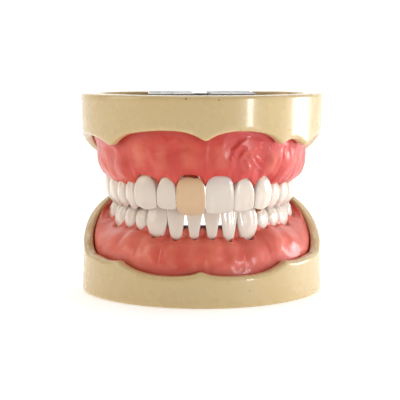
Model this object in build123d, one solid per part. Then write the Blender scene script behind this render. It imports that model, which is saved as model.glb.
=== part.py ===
from build123d import *
import math
import os

# Typodont: a practice model of a full upper and lower set of teeth, closed on a small rear hinge.
# Row frame: X across the arch, Y from front (negative) to back, Z up. Origin: centre of the
# bounding box at the resting plane. Sizes in millimetres.
# Helper coordinate d is the depth behind the front of the bases: y = d - Y_OFF.

os.makedirs("parts", exist_ok=True)

# ---- driving dimensions -------------------------------------------------------------------
HEIGHT = 64.0            # resting plane to the flat top of the upper base
BASE_DEPTH = 62.5        # front to back of each base
TOTAL_DEPTH = 73.0       # front of the bases to the back of the hinge ears
Y_OFF = TOTAL_DEPTH / 2
CENTRE_D = 33.0          # depth of the polar centre that the outlines are measured from
DRAFT = 0.9              # how far each wall leans in over its full height
WALL = 3.6               # outline to the inside of the wall
GUM_GAP = 0.35           # slot between a wall and its gum
OCCLUSAL_Z = 28.0        # plane where the back teeth meet
BITE_GAP = 0.15          # each arch stops this far short of the plane

LOWER_FLOOR_Z = 7.0      # inner floor of the lower base
LOWER_CORE_Z = 19.4      # top of the lower ridge core
LOWER_GUM_Z = 22.3       # top of the lower gum
LOWER_RECESS_Z = 3.4     # depth of the recess under the lower base
UPPER_CEIL_Z = 57.0      # bottom of the trough in the upper base
UPPER_CORE_Z = 41.6      # lowest point of the upper ridge core
UPPER_RECESS_Z = 61.0    # floor of the recess on the upper base
RIM_WIDTH = 6.0          # flat rim round each recess

AXIS_D = 68.0            # hinge axis depth
AXIS_Z = 35.0            # hinge axis height
EAR_R = 5.0
PIN_R = 2.0
PIN_CLEAR = 0.05
SHEET = 2.0              # hinge frame sheet thickness
UP_EAR_X = 15.4          # inner face of each upper ear
LOW_EAR_X = 18.1         # inner face of each lower ear

SCREW_R = 1.0
SCREW_HEAD_R = 2.0
FRAME_SCREW_R = 2.0
FRAME_SCREW_D = 40.0
FRAME_SCREW_X = 9.5

# ---- outlines: radius from (0, CENTRE_D) every 10 degrees, 0 = front, 180 = back ----------
def table_from_points(points, centre_d):
    """Half outline (x, d) from front to back -> radius every 7.5 degrees."""
    pol = []
    for x, d in points:
        pol.append((math.degrees(math.atan2(x, centre_d - d)), math.hypot(x, centre_d - d)))
    out = []
    for k in range(25):
        a = 7.5 * k
        if a <= pol[0][0]:
            out.append(pol[0][1]); continue
        for i in range(len(pol) - 1):
            if pol[i][0] <= a <= pol[i + 1][0] + 1e-9:
                (a0, r0), (a1, r1) = pol[i], pol[i + 1]
                x0, y0 = r0 * math.sin(math.radians(a0)), r0 * math.cos(math.radians(a0))
                x1, y1 = r1 * math.sin(math.radians(a1)), r1 * math.cos(math.radians(a1))
                # ray against the chord
                s, c = math.sin(math.radians(a)), math.cos(math.radians(a))
                den = (x1 - x0) * c - (y1 - y0) * s
                t = (y0 * s - x0 * c) / den if abs(den) > 1e-12 else 0.0
                out.append(math.hypot(x0 + t * (x1 - x0), y0 + t * (y1 - y0)))
                break
        else:
            out.append(pol[-1][1])
    # light smoothing, mirrored at both ends
    for _ in range(2):
        e = [out[1]] + out + [out[-2]]
        out = [0.25 * e[i] + 0.5 * e[i + 1] + 0.25 * e[i + 2] for i in range(len(out))]
    return out


def radius(table, deg):
    """Catmull-Rom through the table; symmetric about 0 and 180 degrees."""
    a = abs((deg + 180.0) % 360.0 - 180.0) / 7.5
    i = min(int(a), 23)
    t = a - i
    g = lambda k: table[-k] if k < 0 else (table[48 - k] if k > 24 else table[k])
    p0, p1, p2, p3 = g(i - 1), g(i), g(i + 1), g(i + 2)
    return 0.5 * (2 * p1 + (p2 - p0) * t + (2 * p0 - 5 * p1 + 4 * p2 - p3) * t * t
                  + (3 * p1 - p0 - 3 * p2 + p3) * t * t * t)


BASE_PTS = [(0, 0), (10, 1.5), (18.1, 4.7), (25.8, 10.2), (31.8, 16.8), (36.0, 24), (38.6, 30.5), (39.3, 36),
            (38.8, 42), (37.2, 48.5), (34.5, 54), (30.5, 58.6), (24.5, 61.4), (17, 62.4), (8, 62.5), (0, 62.5)]
LOW_CREST_PTS = [(0, 8.3), (5.4, 8.8), (11, 10.8), (17.4, 14.9), (21.8, 21.2), (25.2, 27.8), (29.3, 38), (30.8, 46),
                 (29.8, 51), (27.0, 54.4), (22.5, 56.6), (15, 57.4), (0, 57.5)]
UP_CREST_PTS = [(0, 5.6), (8.7, 7.0), (15.3, 10.9), (21.8, 16.6), (25.2, 23.3), (28.0, 30.0), (31.3, 39.8),
                (31.9, 46), (30.2, 51.2), (27.2, 54.6), (22.5, 56.6), (15, 57.4), (0, 57.5)]
BASE_T = table_from_points(BASE_PTS, CENTRE_D)
LOW_CREST_T = table_from_points(LOW_CREST_PTS, CENTRE_D)
UP_CREST_T = table_from_points(UP_CREST_PTS, CENTRE_D)
BASE_FIX = CENTRE_D - radius(BASE_T, 0)          # smoothing moves the front a little; put it back at d = 0


def ring(table, off=0.0, n=44, mix=None, f=0.0, centre=CENTRE_D, fix=0.0):
    """Points (x, d) of an outline moved inwards by off along its normal, blended by f to another table."""
    def at(deg):
        r = radius(table, deg)
        if mix is not None:
            r = r * (1 - f) + radius(mix, deg) * f
        return (r * math.sin(math.radians(deg)), centre - fix - r * math.cos(math.radians(deg)))
    pts = []
    for k in range(n):
        deg = -180.0 + 360.0 * k / n
        x, d = at(deg)
        x1, d1 = at(deg + 0.4)
        x0, d0 = at(deg - 0.4)
        tx, td = x1 - x0, d1 - d0
        ln = math.hypot(tx, td)
        nx, nd = td / ln, -tx / ln                  # outward normal for this direction of travel
        pts.append((x - nx * off, d - nd * off))
    return pts


def base_ring(off, n=44):
    return ring(BASE_T, off, n, fix=BASE_FIX)


def gum_ring(which, off, f, n=44):
    """Outer gum outline: f = 0 follows the base wall, f = 1 follows the necks of the teeth."""
    crest = LOW_CREST_T if which == "lower" else UP_CREST_T
    base = ring(BASE_T, WALL + GUM_GAP, n, fix=BASE_FIX)
    neck = ring(crest, 0.0, n)
    mid = [(a[0] * (1 - f) + b[0] * f, a[1] * (1 - f) + b[1] * f) for a, b in zip(base, neck)]
    if off == 0.0:
        return mid
    out = []
    for k in range(n):
        x0, d0 = mid[k - 1]
        x1, d1 = mid[(k + 1) % n]
        tx, td = x1 - x0, d1 - d0
        ln = math.hypot(tx, td)
        out.append((mid[k][0] - td / ln * off, mid[k][1] + tx / ln * off))
    return out


def wire_at(points, z):
    """Closed smooth wire through (x, d) points at height z."""
    return Wire([Spline(*[(x, d - Y_OFF, z) for x, d in points], periodic=True)])


def poly_wire(points, z):
    return Wire.make_polygon([Vector(x, d - Y_OFF, z) for x, d in points], close=True)


def smooth_loft(sections):
    return Solid.make_loft([wire_at(p, z) for p, z in sections])


def box(x0, x1, d0, d1, z0, z1):
    return Pos((x0 + x1) / 2, (d0 + d1) / 2 - Y_OFF, (z0 + z1) / 2) * Box(x1 - x0, d1 - d0, z1 - z0)


def cyl_z(x, d, r, z0, z1):
    return Pos(x, d - Y_OFF, (z0 + z1) / 2) * Cylinder(r, z1 - z0)


def cyl_x(d, z, r, x0, x1):
    return Pos((x0 + x1) / 2, d - Y_OFF, z) * Rot(0, 90, 0) * Cylinder(r, x1 - x0)


def only(shape):
    s = shape.solids()
    return s[0] if len(s) == 1 else max(s, key=lambda q: q.volume)


# ---- tongue space and palate vault: open at the back ---------------------------------------
def tunnel(half, back=70.0):
    """Closed polygon (x, d) from a half profile front to back, run out past the back of the base."""
    pts = [(x, d) for x, d in half] + [(half[-1][0], back)]
    return pts + [(-x, d) for x, d in reversed(pts) if x > 1e-6]


def tunnel_loft(levels):
    """Loft through tunnel outlines, each a spline front with straight legs."""
    wires = []
    for half, z in levels:
        full = [(-x, d) for x, d in reversed(half) if x > 1e-6] + list(half)
        front = Spline(*[(x, d - Y_OFF, z) for x, d in full])
        a, b = full[0], full[-1]
        pl = Polyline((b[0], b[1] - Y_OFF, z), (b[0], 70.0 - Y_OFF, z), (a[0], 70.0 - Y_OFF, z), (a[0], a[1] - Y_OFF, z))
        wires.append(Wire([front] + list(pl.edges())))
    return Solid.make_loft(wires)


TONGUE_TOP = [(0, 16.6), (4.5, 17.1), (8.6, 19.4), (11.6, 23.6), (13.8, 29.5), (15.8, 38), (17.4, 47), (18.0, 56)]
TONGUE_LOW = [(0, 19.5), (3.8, 20.2), (7.2, 22.8), (9.8, 27.0), (11.6, 32.5), (13.2, 40), (14.4, 48), (14.8, 56)]
VAULT_LOW = [(0, 14.6), (4.6, 15.1), (9.0, 17.8), (12.4, 22.8), (15.0, 29.5), (17.4, 38.5), (18.8, 47), (19.0, 56)]
VAULT_MID = [(0, 18.5), (3.9, 19.1), (7.6, 21.8), (10.4, 26.4), (12.6, 32.5), (14.6, 40.5), (15.6, 48), (15.8, 56)]
VAULT_TOP = [(0, 27.0), (2.0, 27.5), (3.8, 29.6), (5.0, 32.8), (5.9, 36.8), (6.6, 42.5), (7.0, 49), (7.0, 56)]


def grow(half, g):
    """Moves a tunnel profile outwards by g."""
    out = []
    n = len(half)
    for i, (x, d) in enumerate(half):
        x0, d0 = half[max(i - 1, 0)]
        x1, d1 = half[min(i + 1, n - 1)]
        if i == 0:
            out.append((0.0, d - g)); continue
        tx, td = x1 - x0, d1 - d0
        ln = math.hypot(tx, td)
        out.append((x + td / ln * g, d - tx / ln * g))
    return out


# ---- teeth ---------------------------------------------------------------------------------
# Outer contact points (x, d) of each arch from the midline back. A tooth stands between two of them.
UP_ARCH = [(0, 6.5), (8.6, 7.9), (14.8, 11.7), (21.0, 17.3), (24.3, 23.9), (27.1, 30.7), (30.1, 40.4), (31.0, 49.6)]
LOW_ARCH = [(0, 9.2), (5.4, 9.7), (10.7, 11.7), (16.7, 15.7), (20.8, 21.6), (24.1, 28.1), (28.3, 38.6), (29.9, 48.9)]
NAMES = ["central_incisor", "lateral_incisor", "canine", "first_premolar", "second_premolar", "first_molar", "second_molar"]

# Levels from the neck to the tip: (share of height, width share, outer face, inner face).
# Outer face: distance outside the contact line; inner face: distance inside it.
UP_FORM = {
    "central_incisor": [(0, .66, -1.1, 6.0), (.12, .80, -.40, 6.9), (.30, .93, .05, 6.5), (.52, .995, .10, 5.0), (.74, 1.0, -.05, 3.3), (.91, .97, -.30, 2.2), (1, .90, -.55, 1.6)],
    "lateral_incisor": [(0, .62, -.9, 5.4), (.12, .76, -.20, 6.1), (.30, .91, .20, 5.8), (.52, .995, .25, 4.6), (.74, .995, .05, 3.2), (.91, .94, -.25, 2.2), (1, .82, -.50, 1.6)],
    "canine": [(0, .64, -.7, 6.8), (.12, .77, .25, 7.7), (.30, .91, .80, 7.5), (.50, .99, .85, 6.4), (.70, .98, .50, 4.9), (.87, .80, .00, 3.4), (1, .38, -.50, 2.2)],
    "first_premolar": [(0, .64, -1.0, 8.2), (.15, .79, -.10, 9.0), (.36, .95, .35, 9.3), (.60, .99, .15, 9.1), (.82, .94, -.40, 8.5), (1, .84, -1.00, 7.7)],
    "second_premolar": [(0, .64, -1.0, 8.2), (.15, .79, -.15, 9.0), (.36, .95, .30, 9.3), (.60, .99, .10, 9.1), (.82, .94, -.40, 8.5), (1, .84, -1.00, 7.8)],
    "first_molar": [(0, .76, -1.1, 9.8), (.15, .86, -.20, 10.6), (.36, .97, .30, 11.0), (.60, .99, .10, 10.8), (.82, .95, -.40, 10.2), (1, .87, -1.05, 9.3)],
    "second_molar": [(0, .76, -1.1, 9.6), (.15, .86, -.20, 10.4), (.36, .97, .30, 10.8), (.60, .99, .10, 10.6), (.82, .95, -.40, 10.0), (1, .87, -1.05, 9.1)],
}
LOW_FORM = {
    "central_incisor": [(0, .60, -.9, 5.2), (.12, .68, -.40, 5.9), (.30, .80, .00, 5.7), (.55, .92, .05, 4.4), (.78, .985, .00, 2.9), (.93, .98, -.10, 2.0), (1, .93, -.25, 1.5)],
    "lateral_incisor": [(0, .60, -.9, 5.4), (.12, .68, -.40, 6.1), (.30, .80, .00, 5.9), (.55, .92, .05, 4.6), (.78, .985, .00, 3.0), (.93, .98, -.10, 2.0), (1, .93, -.25, 1.5)],
    "canine": [(0, .58, -.7, 6.6), (.12, .67, .10, 7.3), (.30, .82, .55, 7.1), (.52, .94, .65, 5.9), (.73, .985, .40, 4.4), (.89, .82, .00, 3.1), (1, .42, -.45, 2.1)],
    "first_premolar": [(0, .62, -.9, 6.8), (.15, .74, -.05, 7.5), (.36, .90, .40, 7.7), (.60, .985, .30, 7.5), (.82, .95, -.20, 7.0), (1, .84, -.95, 6.2)],
    "second_premolar": [(0, .63, -.9, 7.2), (.15, .76, -.05, 7.9), (.36, .92, .40, 8.1), (.60, .985, .30, 7.9), (.82, .95, -.20, 7.4), (1, .85, -.95, 6.6)],
    "first_molar": [(0, .78, -1.0, 8.8), (.15, .86, -.10, 9.5), (.36, .96, .40, 9.9), (.60, .99, .30, 9.8), (.82, .955, -.20, 9.3), (1, .88, -1.05, 8.4)],
    "second_molar": [(0, .78, -1.0, 8.6), (.15, .86, -.10, 9.3), (.36, .96, .40, 9.7), (.60, .99, .30, 9.6), (.82, .955, -.20, 9.1), (1, .88, -1.05, 8.2)],
}
# tip height, peg radius, distance of the peg centre behind the contact line, inner narrowing
UP_SPEC = {
    "central_incisor": (28.1, 1.9, 3.6, .14), "lateral_incisor": (28.9, 1.7, 3.4, .14), "canine": (28.5, 2.0, 3.9, .18),
    "first_premolar": (None, 1.9, 4.5, .12), "second_premolar": (None, 1.9, 4.5, .14),
    "first_molar": (None, 2.5, 5.3, .10), "second_molar": (None, 2.5, 5.2, .12),
}
LOW_SPEC = {
    "central_incisor": (29.3, 1.5, 3.4, .14), "lateral_incisor": (29.3, 1.5, 3.4, .14), "canine": (29.9, 1.8, 3.8, .18),
    "first_premolar": (None, 1.8, 4.0, .12), "second_premolar": (None, 1.9, 4.2, .12),
    "first_molar": (None, 2.5, 4.8, .08), "second_molar": (None, 2.5, 4.8, .08),
}
UP_NECK_Z = 41.3
LOW_NECK_Z = 19.7
SIDE_GAP = 0.12          # free space between neighbouring teeth


def tooth_axes(arch, i, side):
    """Contact-line midpoint, unit tangent (mesial to distal) and outward normal of tooth i."""
    (x0, d0), (x1, d1) = arch[i], arch[i + 1]
    x0, x1 = x0 * side, x1 * side
    w = math.hypot(x1 - x0, d1 - d0)
    tx, td = (x1 - x0) / w, (d1 - d0) / w
    nx, nd = (td, -tx) if side > 0 else (-td, tx)
    return ((x0 + x1) / 2, (d0 + d1) / 2), (tx, td), (nx, nd), w


def tooth_section(mid, t, n, half_w, fo, fi, narrow, power, turns, count=16):
    """One closed cross-section: half width along t, fo outside and fi inside the contact line."""
    fc, fh = (fo - fi) / 2, (fo + fi) / 2
    pts = []
    for k in range(count):
        a = 2 * math.pi * (k + 0.5) / count
        c, s = math.cos(a), math.sin(a)
        m = math.copysign(abs(c) ** (2 / power), c)
        f = math.copysign(abs(s) ** (2 / power), s)
        m *= half_w * (1 - narrow * (1 - f) / 2)
        f = fc + fh * f
        m -= m / half_w * max(0.0, -f) * turns[1 if m > 0 else 0]
        pts.append((mid[0] + t[0] * m + n[0] * f, mid[1] + t[1] * m + n[1] * f))
    return pts


def make_tooth(which, i, side):
    name = NAMES[i]
    arch, form, spec = (UP_ARCH, UP_FORM, UP_SPEC) if which == "upper" else (LOW_ARCH, LOW_FORM, LOW_SPEC)
    tip, peg_r, peg_in, narrow = spec[name]
    up = which == "upper"
    if tip is None:
        tip = OCCLUSAL_Z + (BITE_GAP if up else -BITE_GAP)
    neck = UP_NECK_Z if up else LOW_NECK_Z
    mid, t, n, w = tooth_axes(arch, i, side)
    turns = []
    for j in (i - 1, i + 1):
        if j < 0:
            t2 = (t[0], -t[1])                     # the mirrored tooth across the midline
        elif j > 6:
            t2 = t
        else:
            t2 = tooth_axes(arch, j, side)[1]
        cosine = max(-1.0, min(1.0, t[0] * t2[0] + t[1] * t2[1]))
        turns.append(math.tan(math.acos(cosine) / 2))
    sections = []
    for share, ws, fo, fi in form[name]:
        z = neck + (tip - neck) * share
        power = 2.3 + (0.9 if i < 3 else 0.7) * share
        sections.append((tooth_section(mid, t, n, (w / 2 - SIDE_GAP / 2) * ws, fo, fi, narrow, power, turns), z))
    crown = smooth_loft(sections)
    px, pd = mid[0] - n[0] * peg_in, mid[1] - n[1] * peg_in
    if up:
        peg = cyl_z(px, pd, peg_r, neck - 1.0, 53.0)
        hole = cyl_z(px, pd, SCREW_R + 0.05, 45.4, 53.5)
    else:
        peg = cyl_z(px, pd, peg_r, 9.0, neck + 1.0)
        hole = cyl_z(px, pd, SCREW_R + 0.05, 8.5, 15.6)
    tooth = only((crown + peg) - hole)
    return tooth, (px, pd, peg_r)


teeth = {"upper": {}, "lower": {}}
pegs = {"upper": [], "lower": []}
for which in ("upper", "lower"):
    for side, word in ((-1, "right"), (1, "left")):
        for i, nm in enumerate(NAMES):
            solid, peg = make_tooth(which, i, side)
            teeth[which][f"{which}_{word}_{nm}"] = solid
            pegs[which].append(peg)

# ---- rims of the walls ----------------------------------------------------------------------
# Height of the rim seen from the front: (x, z).
LOW_RIM = [(0, 10.9), (1.3, 10.55), (3.5, 10.0), (6.5, 9.6), (10, 9.4), (14, 9.4), (17.5, 9.6), (20.5, 10.0),
           (23, 10.6), (25, 11.2), (26.6, 11.9), (28.2, 11.4), (30, 11.05), (32, 10.95), (34, 11.1), (35.6, 11.4), (40, 11.7)]
UP_RIM_LEFT = [(0, 50.6), (1.5, 51.3), (3.5, 52.2), (6, 53.0), (9, 53.4), (13, 53.5), (17, 53.3), (20.5, 52.9),
               (23, 52.4), (25, 51.6), (26.8, 50.2), (28.3, 48.7), (29.6, 49.2), (31.5, 49.9), (34.2, 50.6), (36.5, 51.0), (40, 51.3)]
UP_RIM_RIGHT = [(0, 50.6), (1.5, 51.3), (3.5, 52.2), (6, 53.0), (9, 53.3), (13, 53.3), (16, 53.0), (18.6, 52.6),
                (21.1, 51.7), (22.6, 50.6), (23.9, 49.6), (25.1, 49.9), (26.3, 50.3), (27.7, 50.5), (29.1, 50.3), (30.5, 49.6),
                (31.8, 48.7), (32.8, 48.3), (34, 49.2), (35.5, 50.2), (37.5, 51.1), (40, 51.4)]
# Height of the rim along the sides: (d, z).
LOW_WING = [(26, 11.7), (28, 12.2), (30, 13.1), (34, 15.8), (38, 18.3), (42, 20.7), (46, 23.0), (50, 25.3), (54, 27.6), (57.5, 29.6), (60, 30.4), (64, 30.6)]
UP_WING = [(26, 51.3), (30, 51.3), (33, 51.0), (36, 50.4), (39, 49.6), (42, 48.6), (45, 47.4), (48, 46.2), (51, 44.8), (54, 43.3), (57, 42.0), (60, 41.4), (64, 41.2)]


def prism_y(profile, z_far, d0, d1):
    """Solid between a profile z(x) and the height z_far, from d0 to d1."""
    pts = list(profile) + [(profile[-1][0], z_far), (profile[0][0], z_far)]
    w = Wire.make_polygon([Vector(x, d0 - Y_OFF, z) for x, z in pts], close=True)
    return Solid.extrude(Face(w), Vector(0, d1 - d0, 0))


def prism_x(profile, z_far, x0, x1):
    """Solid between a profile z(d) and the height z_far, from x0 to x1."""
    pts = list(profile) + [(profile[-1][0], z_far), (profile[0][0], z_far)]
    w = Wire.make_polygon([Vector(x0, d - Y_OFF, z) for d, z in pts], close=True)
    return Solid.extrude(Face(w), Vector(x1 - x0, 0, 0))


# ---- lower base -------------------------------------------------------------------------------
low_block = smooth_loft([(base_ring(0.0), 0.0), (base_ring(DRAFT), 34.0)])
low_block = only(fillet(low_block.edges().sort_by(Axis.Z)[0:1], 1.2))
low_inner = smooth_loft([(base_ring(WALL), LOWER_FLOOR_Z), (base_ring(WALL), 35.0)])
low_shell = only(Part() + low_block - low_inner)
front_low = prism_y([(-x, z) for x, z in reversed(LOW_RIM[1:])] + LOW_RIM, 40.0, -2.0, 26.0)
wing_low = prism_x(LOW_WING, 40.0, -45.0, 45.0)
rear_low = box(-20.0, 20.0, 40.0, 66.0, LOWER_FLOOR_Z, 40.0)
low_shell = only(low_shell - front_low - wing_low - rear_low)
core_off = 1.9
low_core = smooth_loft([(gum_ring("lower", core_off, 0.0), LOWER_FLOOR_Z - 1.0), (gum_ring("lower", core_off, 0.05), 11.0),
                        (gum_ring("lower", core_off, 0.45), 15.5), (gum_ring("lower", core_off, 0.9), LOWER_CORE_Z)])
low_core = only(Part() + low_core - tunnel_loft([(grow(TONGUE_LOW, 1.9), LOWER_FLOOR_Z - 1.5), (grow(TONGUE_TOP, 1.9), LOWER_CORE_Z + 0.5)]))
lower_base = only(low_shell + low_core)
recess = only(Part() + smooth_loft([(base_ring(RIM_WIDTH), -1.0), (base_ring(RIM_WIDTH), LOWER_RECESS_Z)]))
seat = box(-20.4, 20.4, 29.6, 66.0, -1.0, SHEET + 0.5)
keep = box(-20.9, 20.9, 29.2, 66.0, SHEET + 0.5, 10.0)
lower_base = only(lower_base - (recess - keep) - seat)
for x in (-FRAME_SCREW_X, FRAME_SCREW_X):
    lower_base = only(lower_base - cyl_z(x, FRAME_SCREW_D, FRAME_SCREW_R, 1.0, 6.3))
for x, d, r in pegs["lower"]:
    lower_base = only(lower_base - cyl_z(x, d, r + 0.05, 9.0, LOWER_CORE_Z + 3) - cyl_z(x, d, SCREW_R + 0.15, 2.0, 10.0)
                      - cyl_z(x, d, SCREW_HEAD_R + 0.2, 2.0, LOWER_RECESS_Z + 2.0))

# ---- lower gum ---------------------------------------------------------------------------------
lower_gum = smooth_loft([(gum_ring("lower", 0.0, 0.0), LOWER_FLOOR_Z), (gum_ring("lower", 0.0, 0.05), 11.5),
                         (gum_ring("lower", 0.0, 0.45), 16.0), (gum_ring("lower", 0.0, 1.0), LOWER_GUM_Z)])
lower_gum = only(Part() + lower_gum - tunnel_loft([(TONGUE_LOW, LOWER_FLOOR_Z - 1.0), (TONGUE_TOP, LOWER_GUM_Z + 1.0)]) - low_core)

# fill along the side walls, and the pad behind the last tooth
GUM_SIDE = [(24, 11.0), (28, 11.7), (30, 12.9), (34, 15.6), (38, 18.1), (42, 20.5), (45, 22.1), (50.4, 22.3), (50.8, 25.0), (54, 27.0), (60, 27.4)]
side_fill = smooth_loft([(gum_ring("lower", 0.0, 0.0), LOWER_FLOOR_Z + 0.5), (gum_ring("lower", 0.0, 0.0), 18.0), (gum_ring("lower", 0.0, 0.06), 28.5)])
side_fill = Part() + side_fill - prism_x(GUM_SIDE, 40.0, -45.0, 45.0) - box(-45, 45, -5, 26.0, 0, 40)
side_fill = side_fill - tunnel_loft([(TONGUE_LOW, LOWER_FLOOR_Z - 1.0), (TONGUE_TOP, 30.0)]) - low_core
lower_gum = only(Part() + lower_gum + side_fill)

# ---- upper base ---------------------------------------------------------------------------------
up_block = smooth_loft([(base_ring(0.0), HEIGHT), (base_ring(DRAFT), 38.0)])
up_block = only(fillet(up_block.edges().sort_by(Axis.Z)[-1:], 1.0))
up_inner = smooth_loft([(base_ring(WALL), UPPER_CEIL_Z), (base_ring(WALL), 37.0)])
up_shell = only(Part() + up_block - up_inner)
front_up = prism_y([(-x, z) for x, z in reversed(UP_RIM_LEFT[1:])] + UP_RIM_RIGHT, 30.0, -2.0, 26.0)
wing_up = prism_x(UP_WING, 30.0, -45.0, 45.0)
rear_up = box(-20.0, 20.0, 40.0, 66.0, 30.0, 53.0)
up_shell = only(up_shell - front_up - wing_up - rear_up)
up_core = smooth_loft([(gum_ring("upper", core_off, 0.0), UPPER_CEIL_Z + 1.0), (gum_ring("upper", core_off, 0.0), 49.0),
                       (gum_ring("upper", core_off, 0.2), 44.5), (gum_ring("upper", core_off, 0.7), UPPER_CORE_Z)])
vault_core = tunnel_loft([(grow(VAULT_LOW, 1.9), UPPER_CORE_Z - 3.0), (grow(VAULT_MID, 2.2), 45.5), (grow(VAULT_TOP, 2.6), 52.4)])
up_core = only(Part() + up_core - vault_core)
upper_base = only(up_shell + up_core)
recess = only(Part() + smooth_loft([(base_ring(RIM_WIDTH), UPPER_RECESS_Z), (base_ring(RIM_WIDTH), HEIGHT + 1.0)]))
seat = box(-18.3, 18.3, 29.6, 66.0, HEIGHT - SHEET - 0.2, HEIGHT + 2.0)
keep = box(-18.8, 18.8, 29.2, 66.0, 55.0, HEIGHT - SHEET - 0.2)
upper_base = only(upper_base - (recess - keep) - seat)
for x in (-FRAME_SCREW_X, FRAME_SCREW_X):
    upper_base = only(upper_base - cyl_z(x, FRAME_SCREW_D, FRAME_SCREW_R, 55.0, HEIGHT))
for x, d, r in pegs["upper"]:
    upper_base = only(upper_base - cyl_z(x, d, r + 0.05, UPPER_CORE_Z - 3, 53.0) - cyl_z(x, d, SCREW_R + 0.15, 52.0, 62.0)
                      - cyl_z(x, d, SCREW_HEAD_R + 0.2, UPPER_RECESS_Z - 2.0, 62.0))

# ---- upper gum: ridge cover and palate in one piece ----------------------------------------------
upper_gum = smooth_loft([(gum_ring("upper", 0.0, 0.0), UPPER_CEIL_Z), (gum_ring("upper", 0.0, 0.0), 48.0),
                         (gum_ring("upper", 0.0, 0.08), 42.5), (gum_ring("upper", 0.0, 0.45), 38.5), (gum_ring("upper", 0.0, 1.0), 35.8)])
vault = tunnel_loft([(VAULT_LOW, 35.0), (VAULT_MID, 43.5), (VAULT_TOP, 50.2)])
slope = prism_x([(-2, 40.1), (8, 39.6), (52, 35.9), (66, 35.9)], 30.0, -45.0, 45.0)
upper_gum = only(Part() + upper_gum - vault - up_core - slope)

# ---- seat the teeth in the gums ------------------------------------------------------------------
for nm, t in teeth["lower"].items():
    lower_gum = only(lower_gum - t)
for nm, t in teeth["upper"].items():
    upper_gum = only(upper_gum - t)

# ---- tooth screws ----------------------------------------------------------------------------------
def tooth_screw(x, d, up):
    if up:
        z0, z1, z2 = 46.0, UPPER_RECESS_Z - 2.0, UPPER_RECESS_Z - 0.3
        s = cyl_z(x, d, SCREW_R, z0, z1) + cyl_z(x, d, SCREW_HEAD_R, z1, z2)
        s = s - box(x - 1.7, x + 1.7, d - 0.3, d + 0.3, z2 - 0.7, z2 + 1) - box(x - 0.3, x + 0.3, d - 1.7, d + 1.7, z2 - 0.7, z2 + 1)
    else:
        z0, z1, z2 = 15.0, LOWER_RECESS_Z + 2.0, LOWER_RECESS_Z + 0.3
        s = cyl_z(x, d, SCREW_R, z1, z0) + cyl_z(x, d, SCREW_HEAD_R, z2, z1)
        s = s - box(x - 1.7, x + 1.7, d - 0.3, d + 0.3, z2 - 1, z2 + 0.7) - box(x - 0.3, x + 0.3, d - 1.7, d + 1.7, z2 - 1, z2 + 0.7)
    return only(s)


upper_screws = [tooth_screw(x, d, True) for x, d, r in pegs["upper"]]
lower_screws = [tooth_screw(x, d, False) for x, d, r in pegs["lower"]]

# ---- hinge frames -------------------------------------------------------------------------------------
def ear(x0, x1, z_root, up):
    """One upright ear with a rounded end on the hinge axis."""
    zr0, zr1 = (AXIS_Z, z_root) if up else (z_root, AXIS_Z)
    plate = box(x0, x1, AXIS_D - 4.0, AXIS_D + 3.0, zr0, zr1)
    return plate + cyl_x(AXIS_D, AXIS_Z, EAR_R, x0, x1)


top_z = HEIGHT - 0.2
up_x1 = UP_EAR_X + SHEET
upper_frame = box(-up_x1, up_x1, 30.0, AXIS_D + 3.0, top_z - SHEET, top_z)
upper_frame = upper_frame + box(-up_x1, up_x1, AXIS_D + 1.0, AXIS_D + 3.0, 46.0, top_z)
upper_frame = upper_frame + ear(UP_EAR_X, up_x1, top_z, True) + ear(-up_x1, -UP_EAR_X, top_z, True)
upper_frame = upper_frame - box(-2.8, 2.8, 20.0, 55.0, 56.0, 70.0) - cyl_z(0, 55.0, 2.8, 60.0, 70.0)
upper_frame = upper_frame - box(-2.8, 2.8, 50.0, 80.0, top_z - 0.6, 70.0)
upper_frame = upper_frame - box(-9.0, 9.0, AXIS_D, 80.0, 40.0, 57.0) - cyl_x(AXIS_D, AXIS_Z, PIN_R + PIN_CLEAR, -30, 30)

low_x1 = LOW_EAR_X + SHEET
lower_frame = box(-low_x1, low_x1, 30.0, AXIS_D + 3.0, 0.5, 0.5 + SHEET)
lower_frame = lower_frame + box(-low_x1, low_x1, AXIS_D + 1.0, AXIS_D + 3.0, 0.5, 16.5)
lower_frame = lower_frame + ear(LOW_EAR_X, low_x1, 0.5, False) + ear(-low_x1, -LOW_EAR_X, 0.5, False)
lower_frame = lower_frame - cyl_x(AXIS_D, AXIS_Z, PIN_R, -30, 30)


def frame_screw(x, up):
    """Countersunk screw, flush with the sheet."""
    if up:
        head = Pos(x, FRAME_SCREW_D - Y_OFF, top_z - 1.0) * Cone(2.0, 4.0, 2.0)
        s = head + cyl_z(x, FRAME_SCREW_D, FRAME_SCREW_R, 55.2, top_z - 1.9)
        return only(s - box(x - 2.4, x + 2.4, FRAME_SCREW_D - 0.4, FRAME_SCREW_D + 0.4, top_z - 0.8, top_z + 1)
                    - box(x - 0.4, x + 0.4, FRAME_SCREW_D - 2.4, FRAME_SCREW_D + 2.4, top_z - 0.8, top_z + 1))
    head = Pos(x, FRAME_SCREW_D - Y_OFF, 1.5) * Cone(4.0, 2.0, 2.0)
    s = head + cyl_z(x, FRAME_SCREW_D, FRAME_SCREW_R, 2.4, 6.2)
    return only(s - box(x - 2.4, x + 2.4, FRAME_SCREW_D - 0.4, FRAME_SCREW_D + 0.4, -1, 1.3)
                - box(x - 0.4, x + 0.4, FRAME_SCREW_D - 2.4, FRAME_SCREW_D + 2.4, -1, 1.3))


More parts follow.
